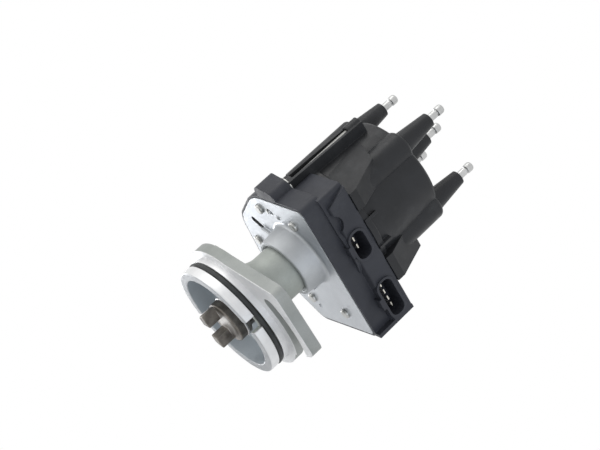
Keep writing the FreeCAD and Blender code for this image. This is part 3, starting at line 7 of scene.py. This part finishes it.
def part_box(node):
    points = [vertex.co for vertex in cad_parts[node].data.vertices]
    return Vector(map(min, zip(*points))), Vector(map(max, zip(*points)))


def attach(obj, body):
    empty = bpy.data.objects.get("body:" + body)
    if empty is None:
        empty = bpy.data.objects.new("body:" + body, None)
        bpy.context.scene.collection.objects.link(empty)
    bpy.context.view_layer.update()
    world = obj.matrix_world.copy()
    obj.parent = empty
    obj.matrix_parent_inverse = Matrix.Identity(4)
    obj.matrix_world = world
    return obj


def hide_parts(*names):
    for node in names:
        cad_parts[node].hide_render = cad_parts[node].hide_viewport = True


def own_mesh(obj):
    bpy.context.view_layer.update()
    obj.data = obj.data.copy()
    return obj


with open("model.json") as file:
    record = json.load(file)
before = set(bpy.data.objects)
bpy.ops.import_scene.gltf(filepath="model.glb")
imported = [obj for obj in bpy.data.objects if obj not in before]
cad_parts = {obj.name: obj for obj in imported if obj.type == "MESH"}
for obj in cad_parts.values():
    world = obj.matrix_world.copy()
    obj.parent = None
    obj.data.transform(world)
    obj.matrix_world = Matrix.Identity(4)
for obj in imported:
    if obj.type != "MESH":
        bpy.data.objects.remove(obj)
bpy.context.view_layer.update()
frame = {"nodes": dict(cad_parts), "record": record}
nodes = frame["nodes"]
scene = bpy.context.scene
scene.view_settings.view_transform = "Standard"


# Camera at the photograph's angle: the picture's right and up, and the way back to the camera
RIGHT = Vector((-0.4530, 0.5521, 0.7000))
UP = Vector((0.7382, -0.2079, 0.6417))
BACK = Vector((0.4998, 0.8074, -0.3134))
CAMERA_PLACE = Vector((0.3778, 0.5874, -0.1734))
CAMERA_LENS_MM = 78.08
CAMERA_SENSOR_MM = 36.0


def make_camera():
    data = bpy.data.cameras.new("camera")
    data.sensor_fit = "HORIZONTAL"
    data.sensor_width = CAMERA_SENSOR_MM
    data.lens = CAMERA_LENS_MM
    data.clip_start = 0.01
    data.clip_end = 200.0
    camera = bpy.data.objects.new("camera", data)
    columns = Matrix((RIGHT, UP, BACK)).transposed().to_4x4()
    camera.matrix_world = Matrix.Translation(CAMERA_PLACE) @ columns
    scene.collection.objects.link(camera)
    scene.camera = camera


make_camera()


# Floor, white background and lamps
FLOOR_Z = -0.85
FLOOR_HALF_WIDTH = 40.0
FLOOR_GREYS = (0.86, 0.88)
FLOOR_LIFT = 0.32
STUDIO_TINT = (0.97, 0.985, 1.0)
STUDIO_STRENGTH = 0.58
WHITE = (1.0, 1.0, 1.0)

AIM = Vector((0.0, 0.0, 0.05))
# name, place, disc width in metres, watts, colour, spread in degrees
LAMPS = (
    ("key", AIM - RIGHT * 0.85 + UP * 0.30 + BACK * 0.15, 0.50, 1.05, (1.0, 0.99, 0.98), 130.0),
    ("front", AIM + BACK * 0.80 + RIGHT * 0.45 - UP * 0.30, 0.60, 1.70, (0.80, 0.88, 1.0), 180.0),
    ("top", AIM + UP * 0.85 - RIGHT * 0.30 + BACK * 0.10, 0.60, 2.20, (1.0, 0.99, 0.97), 180.0),
    ("low_softbox", Vector((-0.233, -0.809, -0.180)), 0.50, 0.16, (0.97, 0.98, 1.0), 34.0),
)


def area_light(name, place, width, watts, colour, spread):
    """Soft disc lamp that faces the part."""
    data = bpy.data.lights.new(name, "AREA")
    data.shape = "DISK"
    data.size = width
    data.energy = watts
    data.color = colour
    data.spread = math.radians(spread)
    lamp = bpy.data.objects.new(name, data)
    lamp.location = place
    lamp.rotation_euler = (place - AIM).to_track_quat("Z", "Y").to_euler()
    lamp.visible_camera = False
    scene.collection.objects.link(lamp)


def seen_directly(tree):
    """1 for what the camera sees, also by way of metal or glass, and 0 for light that only bounces."""
    path = tree.nodes.new("ShaderNodeLightPath")
    seen = path.outputs["Is Camera Ray"]
    for other in ("Is Glossy Ray", "Is Transmission Ray"):
        either = tree.nodes.new("ShaderNodeMath")
        either.operation = "MAXIMUM"
        tree.links.new(seen, either.inputs[0])
        tree.links.new(path.outputs[other], either.inputs[1])
        seen = either.outputs[0]
    return seen


def floor_paint():
    """Pale paint, faintly mottled, that the camera sees a little lighter than its lit colour."""
    material = bpy.data.materials.new("floor_paint")
    material.use_nodes = True
    tree = material.node_tree
    bsdf = tree.nodes["Principled BSDF"]
    bsdf.inputs["Roughness"].default_value = 0.9
    noise = tree.nodes.new("ShaderNodeTexNoise")
    noise.inputs["Scale"].default_value = 3.0
    ramp = tree.nodes.new("ShaderNodeValToRGB")
    for stop, grey in zip(ramp.color_ramp.elements, FLOOR_GREYS):
        stop.color = (grey, grey, grey, 1)
    tree.links.new(noise.outputs["Fac"], ramp.inputs["Fac"])
    tree.links.new(ramp.outputs["Color"], bsdf.inputs["Base Color"])
    bsdf.inputs["Emission Color"].default_value = (*WHITE, 1)
    lift = tree.nodes.new("ShaderNodeMath")
    lift.operation = "MULTIPLY"
    lift.inputs[1].default_value = FLOOR_LIFT
    tree.links.new(seen_directly(tree), lift.inputs[0])
    tree.links.new(lift.outputs["Value"], bsdf.inputs["Emission Strength"])
    return material


def make_floor():
    mesh = bpy.data.meshes.new("floor")
    half = FLOOR_HALF_WIDTH
    corners = ((-half, -half), (half, -half), (half, half), (-half, half))
    mesh.from_pydata([(x, y, FLOOR_Z) for x, y in corners], [], [(0, 1, 2, 3)])
    mesh.materials.append(floor_paint())
    floor = bpy.data.objects.new("floor", mesh)
    scene.collection.objects.link(floor)


def make_world():
    """Soft light from all round, and plain white where it is seen or mirrored."""
    world = bpy.data.worlds.new("studio")
    world.use_nodes = True
    scene.world = world
    tree = world.node_tree
    tree.nodes.clear()
    output = tree.nodes.new("ShaderNodeOutputWorld")
    mix = tree.nodes.new("ShaderNodeMixShader")
    tree.links.new(seen_directly(tree), mix.inputs["Fac"])
    for socket, colour, strength in ((1, STUDIO_TINT, STUDIO_STRENGTH), (2, WHITE, 1.0)):
        sky = tree.nodes.new("ShaderNodeBackground")
        sky.inputs["Color"].default_value = (*colour, 1)
        sky.inputs["Strength"].default_value = strength
        tree.links.new(sky.outputs["Background"], mix.inputs[socket])
    tree.links.new(mix.outputs["Shader"], output.inputs["Surface"])


make_floor()
make_world()
for lamp_facts in LAMPS:
    area_light(*lamp_facts)


# Material building blocks: scales are per metre, depths and radii in metres
# Lighter edges, partly wear and partly painted highlight: scale of their broken patches and the normal turn
# that marks them
EDGE_WEAR_AND_HIGHLIGHT_SCALE = 420.0
EDGE_WEAR_AND_HIGHLIGHT_TURN = (0.90, 0.99)
EDGE_SAMPLES = 4


class Paint:
    """Procedural material: mottled colour, uneven roughness, fine relief and rounded edges."""

    def __init__(self, name, metallic=0.0, specular=0.5):
        self.material = bpy.data.materials.new(name)
        self.material.use_nodes = True
        self.tree = self.material.node_tree
        self.bsdf = self.tree.nodes["Principled BSDF"]
        self.bsdf.inputs["Metallic"].default_value = metallic
        self.bsdf.inputs["Specular IOR Level"].default_value = specular
        self.where = self.node("ShaderNodeTexCoord").outputs["Object"]
        self.relief = None

    def node(self, kind, **inputs):
        made = self.tree.nodes.new(kind)
        for key, value in inputs.items():
            made.inputs[key].default_value = value
        return made

    def link(self, source, target):
        self.tree.links.new(source, target)

    def feed(self, socket, value):
        """Link a node's output to the socket, or set the socket to a colour or number."""
        if isinstance(value, bpy.types.NodeSocket):
            self.link(value, socket)
        elif isinstance(value, tuple):
            socket.default_value = (*value, 1)
        else:
            socket.default_value = value

    def noise(self, scale, detail=3.0, rough=0.55, distortion=0.0):
        made = self.node(
            "ShaderNodeTexNoise", Scale=scale, Detail=detail, Roughness=rough, Distortion=distortion
        )
        self.link(self.where, made.inputs["Vector"])
        return made.outputs["Fac"]

    def cell_edges(self, scale):
        made = self.node("ShaderNodeTexVoronoi", Scale=scale)
        made.feature = "DISTANCE_TO_EDGE"
        self.link(self.where, made.inputs["Vector"])
        return made.outputs["Distance"]

    def math(self, operation, *values):
        made = self.node("ShaderNodeMath")
        made.operation = operation
        for socket, value in zip(made.inputs, values):
            self.feed(socket, value)
        return made.outputs[0]

    def times(self, a, b):
        return self.math("MULTIPLY", a, b)

    def plus(self, a, b):
        return self.math("ADD", a, b)

    def minus(self, a, b):
        return self.math("SUBTRACT", a, b)

    def ramp(self, fac, low, high, at=(0.3, 0.7)):
        """Colour between two stops."""
        made = self.node("ShaderNodeValToRGB")
        for stop, place, colour in zip(made.color_ramp.elements, at, (low, high)):
            stop.position = place
            stop.color = (*colour, 1)
        self.link(fac, made.inputs["Fac"])
        return made.outputs["Color"]

    def span(self, fac, low, high, at=(0.3, 0.7)):
        """Number between two values, held at them outside the stops."""
        made = self.node("ShaderNodeMapRange")
        for key, value in zip(("From Min", "From Max", "To Min", "To Max"), (*at, low, high)):
            made.inputs[key].default_value = value
        self.link(fac, made.inputs["Value"])
        return made.outputs["Result"]

    def above(self, value, level, blend=0.0002):
        return self.span(value, 0.0, 1.0, (level - blend, level + blend))

    def below(self, value, level, blend=0.0002):
        return self.span(value, 1.0, 0.0, (level - blend, level + blend))

    def mix(self, fac, a, b, kind="MIX"):
        made = self.node("ShaderNodeMix")
        made.data_type = "RGBA"
        made.blend_type = kind
        self.feed(made.inputs["Factor"], fac)
        self.feed(made.inputs["A"], a)
        self.feed(made.inputs["B"], b)
        return made.outputs["Result"]

    def tinted(self, colour, tint):
        return self.mix(1.0, colour, tint, "MULTIPLY")

    def axes(self):
        split = self.node("ShaderNodeSeparateXYZ")
        self.link(self.where, split.inputs["Vector"])
        return split.outputs

    def height(self):
        """Level along the shaft axis, 0 at the flange's seat."""
        return self.axes()["Z"]

    def radius(self):
        """Distance from the shaft axis."""
        x, y, _ = self.axes()
        return self.math("SQRT", self.plus(self.times(x, x), self.times(y, y)))

    def edge_wear_and_highlight(self):
        """1 where the rounded normal turns away from the flat one, so along edges, in broken patches; it
        lightens edges, partly as wear and partly as painted highlight.
        """
        flat = self.node("ShaderNodeNewGeometry").outputs["True Normal"]
        turned = self.node("ShaderNodeVectorMath")
        turned.operation = "DOT_PRODUCT"
        self.link(self.relief, turned.inputs[0])
        self.link(flat, turned.inputs[1])
        edge = self.span(turned.outputs["Value"], 1.0, 0.0, EDGE_WEAR_AND_HIGHLIGHT_TURN)
        return self.times(edge, self.span(self.noise(EDGE_WEAR_AND_HIGHLIGHT_SCALE, 4.0, 0.6), 0.35, 1.0, (0.4, 0.62)))

    def bump(self, height, strength, distance):
        made = self.node("ShaderNodeBump", Strength=strength, Distance=distance)
        self.link(height, made.inputs["Height"])
        if self.relief is not None:
            self.link(self.relief, made.inputs["Normal"])
        self.relief = made.outputs["Normal"]

    def soften(self, radius):
        made = self.node("ShaderNodeBevel", Radius=radius)
        made.samples = EDGE_SAMPLES
        self.relief = made.outputs["Normal"]

    def done(self, colour, roughness):
        self.link(colour, self.bsdf.inputs["Base Color"])
        self.link(roughness, self.bsdf.inputs["Roughness"])
        self.link(self.relief, self.bsdf.inputs["Normal"])
        return self.material


def metal(name, low, high, rough, grain, depth, edge=0.0003, metallic=0.9):
    """Fine-grained metal, brighter along edges, partly from wear and partly as painted highlight."""
    p = Paint(name, metallic=metallic)
    p.soften(edge)
    wear_and_highlight = p.edge_wear_and_highlight()
    p.bump(p.noise(grain, 4.0), 0.35, depth)
    bright = tuple(min(1.0, 1.18 * c) for c in high)
    # Lighter edges: partly wear, partly painted highlight.
    colour = p.mix(p.times(wear_and_highlight, 0.5), p.ramp(p.noise(90.0), low, high), bright)
    return p.done(colour, p.span(p.noise(260.0), *rough))


def plastic(name, low, high, rough, grain=2600.0, depth=0.00006, specular=0.5):
    """Moulded plastic with flow mottling, lighter edges that are partly scuffs and partly painted highlight,
    and patches of dust.
    """
    p = Paint(name, specular=specular)
    p.soften(0.0005)
    wear_and_highlight = p.edge_wear_and_highlight()
    p.bump(p.noise(grain, 3.0, 0.6), 0.45, depth)
    p.bump(p.noise(45.0, 2.0), 0.12, 0.0008)
    # Lighter edges: partly scuffs, partly painted highlight.
    scuffed_and_highlit = tuple(2.6 * c + 0.02 for c in high)
    colour = p.mix(p.times(wear_and_highlight, 0.35), p.ramp(p.noise(38.0, 4.0, 0.6, 0.8), low, high), scuffed_and_highlit)
    patches = p.span(p.noise(70.0, 5.0, 0.65), 0.0, 0.16, (0.55, 0.75))
    dust = p.times(patches, p.span(p.noise(900.0), 0.4, 1.0))
    colour = p.mix(dust, colour, (0.16, 0.165, 0.17))
    return p.done(colour, p.plus(p.span(p.noise(160.0), *rough), p.times(dust, 0.3)))


# Limits of the zones of the housing and plate, in metres
TURNED_R = 0.0345
TURNED_TOP_Z = 0.0003
RIM_TOP_Z = -0.0128
EAR_R = 0.0385
CUP_R = 0.0306
CUP_TOP_Z = 0.0020
SHEET_Z = 0.0462
# Turning marks, in radians of ripple per metre
TURNING_WAVES = 16000.0


def cast_aluminium():
    """Die-cast skin, darker on the ears, with a turned seat, pilot lands and rim; the rim is painted shade,
    darker than the other turned faces, and the cup inside is painted light, lighter and bluish.
    """
    p = Paint("cast_aluminium", metallic=0.55)
    p.soften(0.0006)
    wear_and_highlight = p.edge_wear_and_highlight()
    z, radius = p.height(), p.radius()
    rim = p.below(z, RIM_TOP_Z)
    turned = p.math("MAXIMUM", p.times(p.below(z, TURNED_TOP_Z), p.above(radius, TURNED_R)), rim)
    grain = p.noise(1700.0, 4.0, 0.6)
    p.bump(p.times(grain, p.span(turned, 1.0, 0.12, (0.0, 1.0))), 0.6, 0.00016)
    p.bump(p.noise(230.0, 3.0, 0.5), 0.25, 0.0003)
    rings = p.math("SINE", p.times(p.plus(radius, z), TURNING_WAVES))
    p.bump(p.times(rings, turned), 0.10, 0.00002)

    cast = p.ramp(p.noise(55.0, 5.0, 0.6), (0.335, 0.352, 0.344), (0.435, 0.450, 0.442))
    stain = p.ramp(p.noise(20.0, 3.0, 0.6, 0.6), (0.90, 0.91, 0.88), (1.0, 1.0, 1.0), (0.35, 0.6))
    cast = p.tinted(cast, stain)
    ear = p.above(radius, EAR_R, 0.0015)
    cast = p.tinted(cast, p.ramp(ear, (1.12, 1.13, 1.10), (0.88, 0.88, 0.88), (0.0, 1.0)))
    # Painted light: the inside of the cup is coloured lighter and bluish.
    cup = p.times(p.below(radius, CUP_R), p.below(z, CUP_TOP_Z))
    cup_painted_light = p.ramp(p.noise(60.0, 5.0, 0.6), (0.46, 0.50, 0.53), (0.57, 0.61, 0.64))
    cast = p.mix(cup, cast, cup_painted_light)
    turned_skin = p.ramp(p.noise(120.0), (0.72, 0.725, 0.73), (0.82, 0.82, 0.82))
    # Painted shade: the rim is coloured darker than the other turned faces.
    rim_painted_shade = p.ramp(p.noise(90.0), (0.31, 0.325, 0.34), (0.40, 0.41, 0.42))
    colour = p.mix(rim, p.mix(turned, cast, turned_skin), rim_painted_shade)
    # Lighter edges: partly wear, partly painted highlight.
    colour = p.mix(p.times(wear_and_highlight, 0.55), colour, (0.72, 0.73, 0.73))
    return p.done(colour, p.minus(p.span(grain, 0.52, 0.68), p.times(turned, 0.16)))


def plate_aluminium():
    """Rolled sheet above the collar, smoother and brighter than the cast collar."""
    p = Paint("plate_aluminium", metallic=0.88)
    p.soften(0.0005)
    wear_and_highlight = p.edge_wear_and_highlight()
    sheet = p.above(p.height(), SHEET_Z)
    grain = p.noise(2400.0, 4.0, 0.6)
    p.bump(grain, 0.5, 0.00010)
    p.bump(p.noise(200.0, 2.0), 0.22, 0.0003)
    rolled = p.ramp(p.noise(60.0, 4.0, 0.6), (0.46, 0.48, 0.505), (0.54, 0.56, 0.585))
    collar = p.ramp(p.noise(75.0, 4.0, 0.6), (0.44, 0.455, 0.468), (0.51, 0.525, 0.538))
    # Lighter edges: partly wear, partly painted highlight.
    colour = p.mix(p.times(wear_and_highlight, 0.5), p.mix(sheet, collar, rolled), (0.80, 0.81, 0.82))
    return p.done(colour, p.minus(p.span(grain, 0.54, 0.66), p.times(sheet, 0.24)))


# Face of the coupling between its lugs, and the reach of its painted highlight, in metres
COUPLING_FACE_Z = (-0.0132, -0.0128)
COUPLING_HIGHLIGHT_R = 0.0085


def coupling_steel():
    """Dark oily steel, with a painted highlight between the lugs."""
    p = Paint("coupling_steel", metallic=0.85)
    p.soften(0.0004)
    wear_and_highlight = p.edge_wear_and_highlight()
    z = p.height()
    p.bump(p.noise(1300.0, 4.0), 0.4, 0.00014)
    dark = p.ramp(p.noise(150.0, 4.0, 0.6), (0.10, 0.090, 0.078), (0.22, 0.20, 0.178), (0.35, 0.65))
    low, high = COUPLING_FACE_Z
    face = p.times(p.above(z, low, 0.0001), p.below(z, high, 0.0001))
    # Painted highlight: a bright disc on the face between the lugs.
    painted_highlight = p.times(face, p.below(p.radius(), COUPLING_HIGHLIGHT_R, 0.0015))
    highlight_colour = p.ramp(p.noise(300.0), (0.60, 0.58, 0.56), (0.80, 0.78, 0.76))
    colour = p.mix(p.times(painted_highlight, 0.8), dark, highlight_colour)
    # Lighter edges: partly wear, partly painted highlight.
    colour = p.mix(p.times(wear_and_highlight, 0.6), colour, (0.36, 0.34, 0.31))
    return p.done(colour, p.span(p.noise(500.0), 0.34, 0.52))


def seal_rubber():
    p = Paint("seal_rubber", specular=0.35)
    p.bump(p.noise(3000.0), 0.3, 0.00004)
    colour = p.ramp(p.noise(150.0), (0.022, 0.024, 0.024), (0.045, 0.048, 0.048))
    return p.done(colour, p.span(p.noise(300.0), 0.48, 0.66))


WIRE_PITCH = 0.00012


def winding_copper():
    """Lacquered wire: the turns show as fine ridges along the winding's height."""
    p = Paint("winding_copper", metallic=0.9)
    p.bump(p.math("SINE", p.times(p.height(), 2 * math.pi / WIRE_PITCH)), 0.5, 0.00003)
    colour = p.ramp(p.noise(500.0), (0.42, 0.13, 0.05), (0.62, 0.24, 0.10))
    return p.done(colour, p.span(p.noise(300.0), 0.25, 0.4))


def board_laminate():
    """Green solder lacquer with darker lines between its fields."""
    p = Paint("board_laminate")
    p.bump(p.noise(1800.0), 0.2, 0.00004)
    green = p.ramp(p.cell_edges(420.0), (0.015, 0.09, 0.035), (0.02, 0.16, 0.06), (0.02, 0.06))
    return p.done(green, p.span(p.noise(300.0), 0.25, 0.4))


# slot: darkest and lightest colour, roughness range, grain per metre, grain depth, edge radius, metallic
METALS = {
    "bush_bronze": ((0.42, 0.28, 0.13), (0.55, 0.39, 0.20), (0.35, 0.50), 2200.0, 0.00008),
    "zinc_steel": ((0.42, 0.42, 0.40), (0.56, 0.56, 0.54), (0.28, 0.42), 1200.0, 0.00004),
    "pin_tin": ((0.62, 0.60, 0.54), (0.75, 0.73, 0.66), (0.22, 0.34), 900.0, 0.00002, 0.0001),
    "insert_brass": ((0.60, 0.43, 0.16), (0.75, 0.57, 0.26), (0.25, 0.38), 900.0, 0.00003),
    "shaft_steel": ((0.46, 0.46, 0.46), (0.58, 0.58, 0.58), (0.20, 0.34), 1500.0, 0.00003, 0.0002),
    "sinter_steel": ((0.20, 0.20, 0.20), (0.30, 0.30, 0.30), (0.40, 0.55), 1800.0, 0.0001),
    "magnet_ferrite": ((0.05, 0.05, 0.055), (0.09, 0.09, 0.095), (0.50, 0.65), 1600.0, 0.0001, 0.0003, 0.4),
    "blade_brass": ((0.62, 0.44, 0.17), (0.76, 0.58, 0.27), (0.22, 0.36), 1200.0, 0.00003, 0.0002),
    "terminal_aluminium": ((0.44, 0.445, 0.44), (0.60, 0.60, 0.595), (0.30, 0.44), 1400.0, 0.00008, 0.0002),
}
# slot: darkest and lightest colour, roughness range, grain per metre, grain depth, specular level
PLASTICS = {
    "base_plastic": ((0.030, 0.032, 0.040), (0.044, 0.047, 0.058), (0.40, 0.52), 2600.0, 0.00006, 0.28),
    "cap_plastic": ((0.018, 0.019, 0.0205), (0.028, 0.029, 0.032), (0.34, 0.48), 2600.0, 0.00006, 0.26),
    "module_plastic": ((0.03, 0.03, 0.03), (0.05, 0.05, 0.05), (0.30, 0.45)),
    "bobbin_plastic": ((0.46, 0.41, 0.30), (0.56, 0.50, 0.38), (0.40, 0.50)),
    "shield_plastic": ((0.03, 0.03, 0.03), (0.045, 0.045, 0.045), (0.35, 0.50)),
    "rotor_plastic": ((0.04, 0.030, 0.026), (0.06, 0.048, 0.042), (0.22, 0.34)),
    "brush_carbon": ((0.03, 0.03, 0.032), (0.055, 0.055, 0.058), (0.45, 0.60), 2400.0, 0.00005),
}
MATERIALS = {
    "cast_aluminium": cast_aluminium(),
    "plate_aluminium": plate_aluminium(),
    "coupling_steel": coupling_steel(),
    "seal_rubber": seal_rubber(),
    "winding_copper": winding_copper(),
    "board_laminate": board_laminate(),
}
for slot_name, facts in METALS.items():
    MATERIALS[slot_name] = metal(slot_name, *facts)
for slot_name, facts in PLASTICS.items():
    MATERIALS[slot_name] = plastic(slot_name, *facts)
# Painted shade: a darker zinc for the long cap screws in their channels.
SHADED_ZINC = metal("zinc_painted_shade", (0.20, 0.20, 0.19), (0.32, 0.32, 0.31), (0.40, 0.55), 1400.0, 0.00006)


def dress_cad():
    """Give each node its slot's material; the long cap screws get a darker zinc as painted shade of the
    channels they run in.
    """
    slot_of = {entry["node"]: entry["material_slot"] for entry in frame["record"]["subparts"]}
    for name, obj in nodes.items():
        in_shade = name.startswith("cap_screw")
        obj.data.materials.clear()
        obj.data.materials.append(SHADED_ZINC if in_shade else MATERIALS[slot_of[name]])


dress_cad()


# Added pieces: lengths in mm
def mm(*values):
    return Vector(values) / 1000.0


def add_piece(name, verts, faces, slot, smooth=True):
    mesh = bpy.data.meshes.new(name)
    mesh.from_pydata([tuple(v) for v in verts], [], faces)
    mesh.validate()
    for polygon in mesh.polygons:
        polygon.use_smooth = smooth
    mesh.materials.append(MATERIALS[slot])
    piece = bpy.data.objects.new(name, mesh)
    scene.collection.objects.link(piece)
    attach(piece, "housing_group")
    return piece


def lathe(name, profile, centre, axis, slot, steps=40):
    """Revolve a profile of (radius, height) pairs about a line."""
    axis = Vector(axis).normalized()
    side = axis.orthogonal().normalized()
    other = axis.cross(side)
    verts, faces = [], []
    for i in range(steps):
        turn = 2 * math.pi * i / steps
        ray = side * math.cos(turn) + other * math.sin(turn)
        for radius, height in profile:
            verts.append(mm(*centre) + (ray * radius + axis * height) / 1000.0)
    rows = len(profile)
    for i in range(steps):
        j = (i + 1) % steps
        for k in range(rows - 1):
            faces.append((i * rows + k, j * rows + k, j * rows + k + 1, i * rows + k + 1))
    return add_piece(name, verts, faces, slot)


def dome(name, centre, radius, height, axis, slot):
    """Low rounded bump that stands on a face."""
    sink, tip, bands = 0.1, 0.002, 6
    profile = [(radius, -sink)]
    for i in range(bands + 1):
        turn = math.pi / 2 * i / bands
        profile.append((max(radius * math.cos(turn), tip), height * math.sin(turn)))
    return lathe(name, profile, centre, axis, slot, steps=28)


def stadium(length, width, centre, angle, steps=12):
    """Points of a slot's outline, counter-clockwise."""
    radius = width / 2
    reach = length / 2 - radius
    c, s = math.cos(math.radians(angle)), math.sin(math.radians(angle))
    points = []
    for sign in (1, -1):
        for i in range(steps + 1):
            turn = math.pi * i / steps - math.pi / 2
            x = sign * (reach + radius * math.cos(turn))
            y = sign * radius * math.sin(turn)
            points.append((centre[0] + x * c - y * s, centre[1] + x * s + y * c))
    return points


def wall_band(name, points, low, high, thickness, slot):
    """Closed thin band that lines a hole, between two levels."""
    count = len(points)
    cx = sum(p[0] for p in points) / count
    cy = sum(p[1] for p in points) / count
    verts, faces = [], []
    for x, y in points:
        reach = math.hypot(x - cx, y - cy)
        k = (reach - thickness) / reach
        inner = (cx + (x - cx) * k, cy + (y - cy) * k)
        verts += [mm(x, y, low), mm(x, y, high), mm(*inner, high), mm(*inner, low)]
    for i in range(count):
        a, b = 4 * i, 4 * ((i + 1) % count)
        for k in range(4):
            faces.append((a + k, b + k, b + (k + 1) % 4, a + (k + 1) % 4))
    return add_piece(name, verts, faces, slot)


def rounded_bar(name, corners, low, high, slot, bevel=0.15):
    """Small prism on a polygon, with its edges rounded by a modifier."""
    count = len(corners)
    verts = [mm(x, y, z) for z in (low, high) for x, y in corners]
    faces = [tuple(reversed(range(count))), tuple(range(count, 2 * count))]
    for i in range(count):
        j = (i + 1) % count
        faces.append((i, j, count + j, count + i))
    piece = add_piece(name, verts, faces, slot, smooth=False)
    rounding = piece.modifiers.new("rounding", "BEVEL")
    rounding.width = bevel / 1000.0
    rounding.segments = 2
    return piece


PLATE_FACE_Z = 46.5
PLATE_SLOT = {"length": 12.0, "width": 5.0, "centre": (12.7, -34.0), "angle": 128.0}
# Depths and thickness of the dark band of painted shade that lines the slot
PLATE_SLOT_DEPTHS = (0.05, 2.95)
PLATE_SLOT_SHADE = 0.06
STAKES = ((25.9, -2.2, 1.7), (20.5, 7.9, 1.5), (28.5, -8.0, 1.2), (-49.0, -20.0, 1.5), (-30.0, -50.0, 1.3))
STAKE_HEIGHT = 0.7
CLIP_CORNERS = [(27.2, -11.5), (30.2, -11.5), (30.2, -9.9), (27.2, -9.9)]


def plate_details():
    """Painted shade as a dark band inside the plate's slot, rounded stakes on its face and the end of a clip.
    """
    low, high = (PLATE_FACE_Z + depth for depth in PLATE_SLOT_DEPTHS)
    # Painted shade: a thin dark band lines the slot's wall.
    wall_band("plate_slot_painted_shade", stadium(**PLATE_SLOT), low, high, PLATE_SLOT_SHADE, "magnet_ferrite")
    for i, (x, y, radius) in enumerate(STAKES):
        centre = (x, y, PLATE_FACE_Z)
        dome("plate_stake_%d" % i, centre, radius, STAKE_HEIGHT, (0, 0, -1), "plate_aluminium")
    rounded_bar("plate_clip", CLIP_CORNERS, PLATE_FACE_Z - 0.5, PLATE_FACE_Z + 0.1, "zinc_steel")


LEG_SCREW_X = 38.2
LEG_FOOT_Z = 59.5
WASHER_PROFILE = [(3.85, 0.0), (5.6, 0.0), (5.7, 0.15), (5.7, 0.95), (5.55, 1.1), (3.85, 1.1), (3.85, 0.0)]


def leg_details():
    """Washers at the feet of the cap's legs."""
    for side, label in ((1, "right"), (-1, "left")):
        centre = (LEG_SCREW_X * side, 0, LEG_FOOT_Z)
        lathe("leg_washer_" + label, WASHER_PROFILE, centre, (0, 0, 1), "zinc_steel")


EJECTOR_ANGLES = (20.0, 140.0, 200.0, 320.0)
EJECTOR_CENTRE_R = 21.0
EJECTOR_FLOOR_Z = 1.0
EJECTOR_PROFILE = [(0.01, 0.12), (2.1, 0.12), (2.3, 0.05), (2.5, -0.05)]


def casting_marks():
    """Round marks of the ejector pins on the floor of the pilot cup."""
    for i, angle in enumerate(EJECTOR_ANGLES):
        turn = math.radians(angle)
        centre = (EJECTOR_CENTRE_R * math.cos(turn), EJECTOR_CENTRE_R * math.sin(turn), EJECTOR_FLOOR_Z)
        lathe("ejector_mark_%d" % i, EJECTOR_PROFILE, centre, (0, 0, -1), "cast_aluminium")


SPRING_COIL_R = 1.6
SPRING_WIRE_R = 0.24
SPRING_TURNS = 7.5
SPRING_STEPS = 20
SPRING_SIDES = 10
SPRING_CLOSING = 0.09


def pressed_spring():
    """Carbon brush spring with closed end turns, spanning the height of the CAD spring, which it hides."""
    low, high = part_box("brush_spring")
    centre = (low + high) * 500.0
    bottom = low.z * 1000.0 + SPRING_WIRE_R
    rise = high.z * 1000.0 - SPRING_WIRE_R - bottom
    count = int(SPRING_TURNS * SPRING_STEPS)
    verts, faces = [], []
    for i in range(count + 1):
        share = i / count
        level = bottom + rise * (share - SPRING_CLOSING * math.sin(2 * math.pi * share))
        turn = 2 * math.pi * i / SPRING_STEPS
        for side in range(SPRING_SIDES):
            lean = 2 * math.pi * side / SPRING_SIDES
            reach = SPRING_COIL_R + SPRING_WIRE_R * math.cos(lean)
            x = centre.x + reach * math.cos(turn)
            y = centre.y + reach * math.sin(turn)
            verts.append(mm(x, y, level + SPRING_WIRE_R * math.sin(lean)))
    for i in range(count):
        near, far = i * SPRING_SIDES, (i + 1) * SPRING_SIDES
        for side in range(SPRING_SIDES):
            other = (side + 1) % SPRING_SIDES
            faces.append((near + side, near + other, far + other, far + side))
    faces.append(tuple(reversed(range(SPRING_SIDES))))
    faces.append(tuple(count * SPRING_SIDES + side for side in range(SPRING_SIDES)))
    spring = add_piece("pressed_spring", verts, faces, "shaft_steel")
    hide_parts("brush_spring")
    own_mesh(spring)


plate_details()
leg_details()
casting_marks()
pressed_spring()
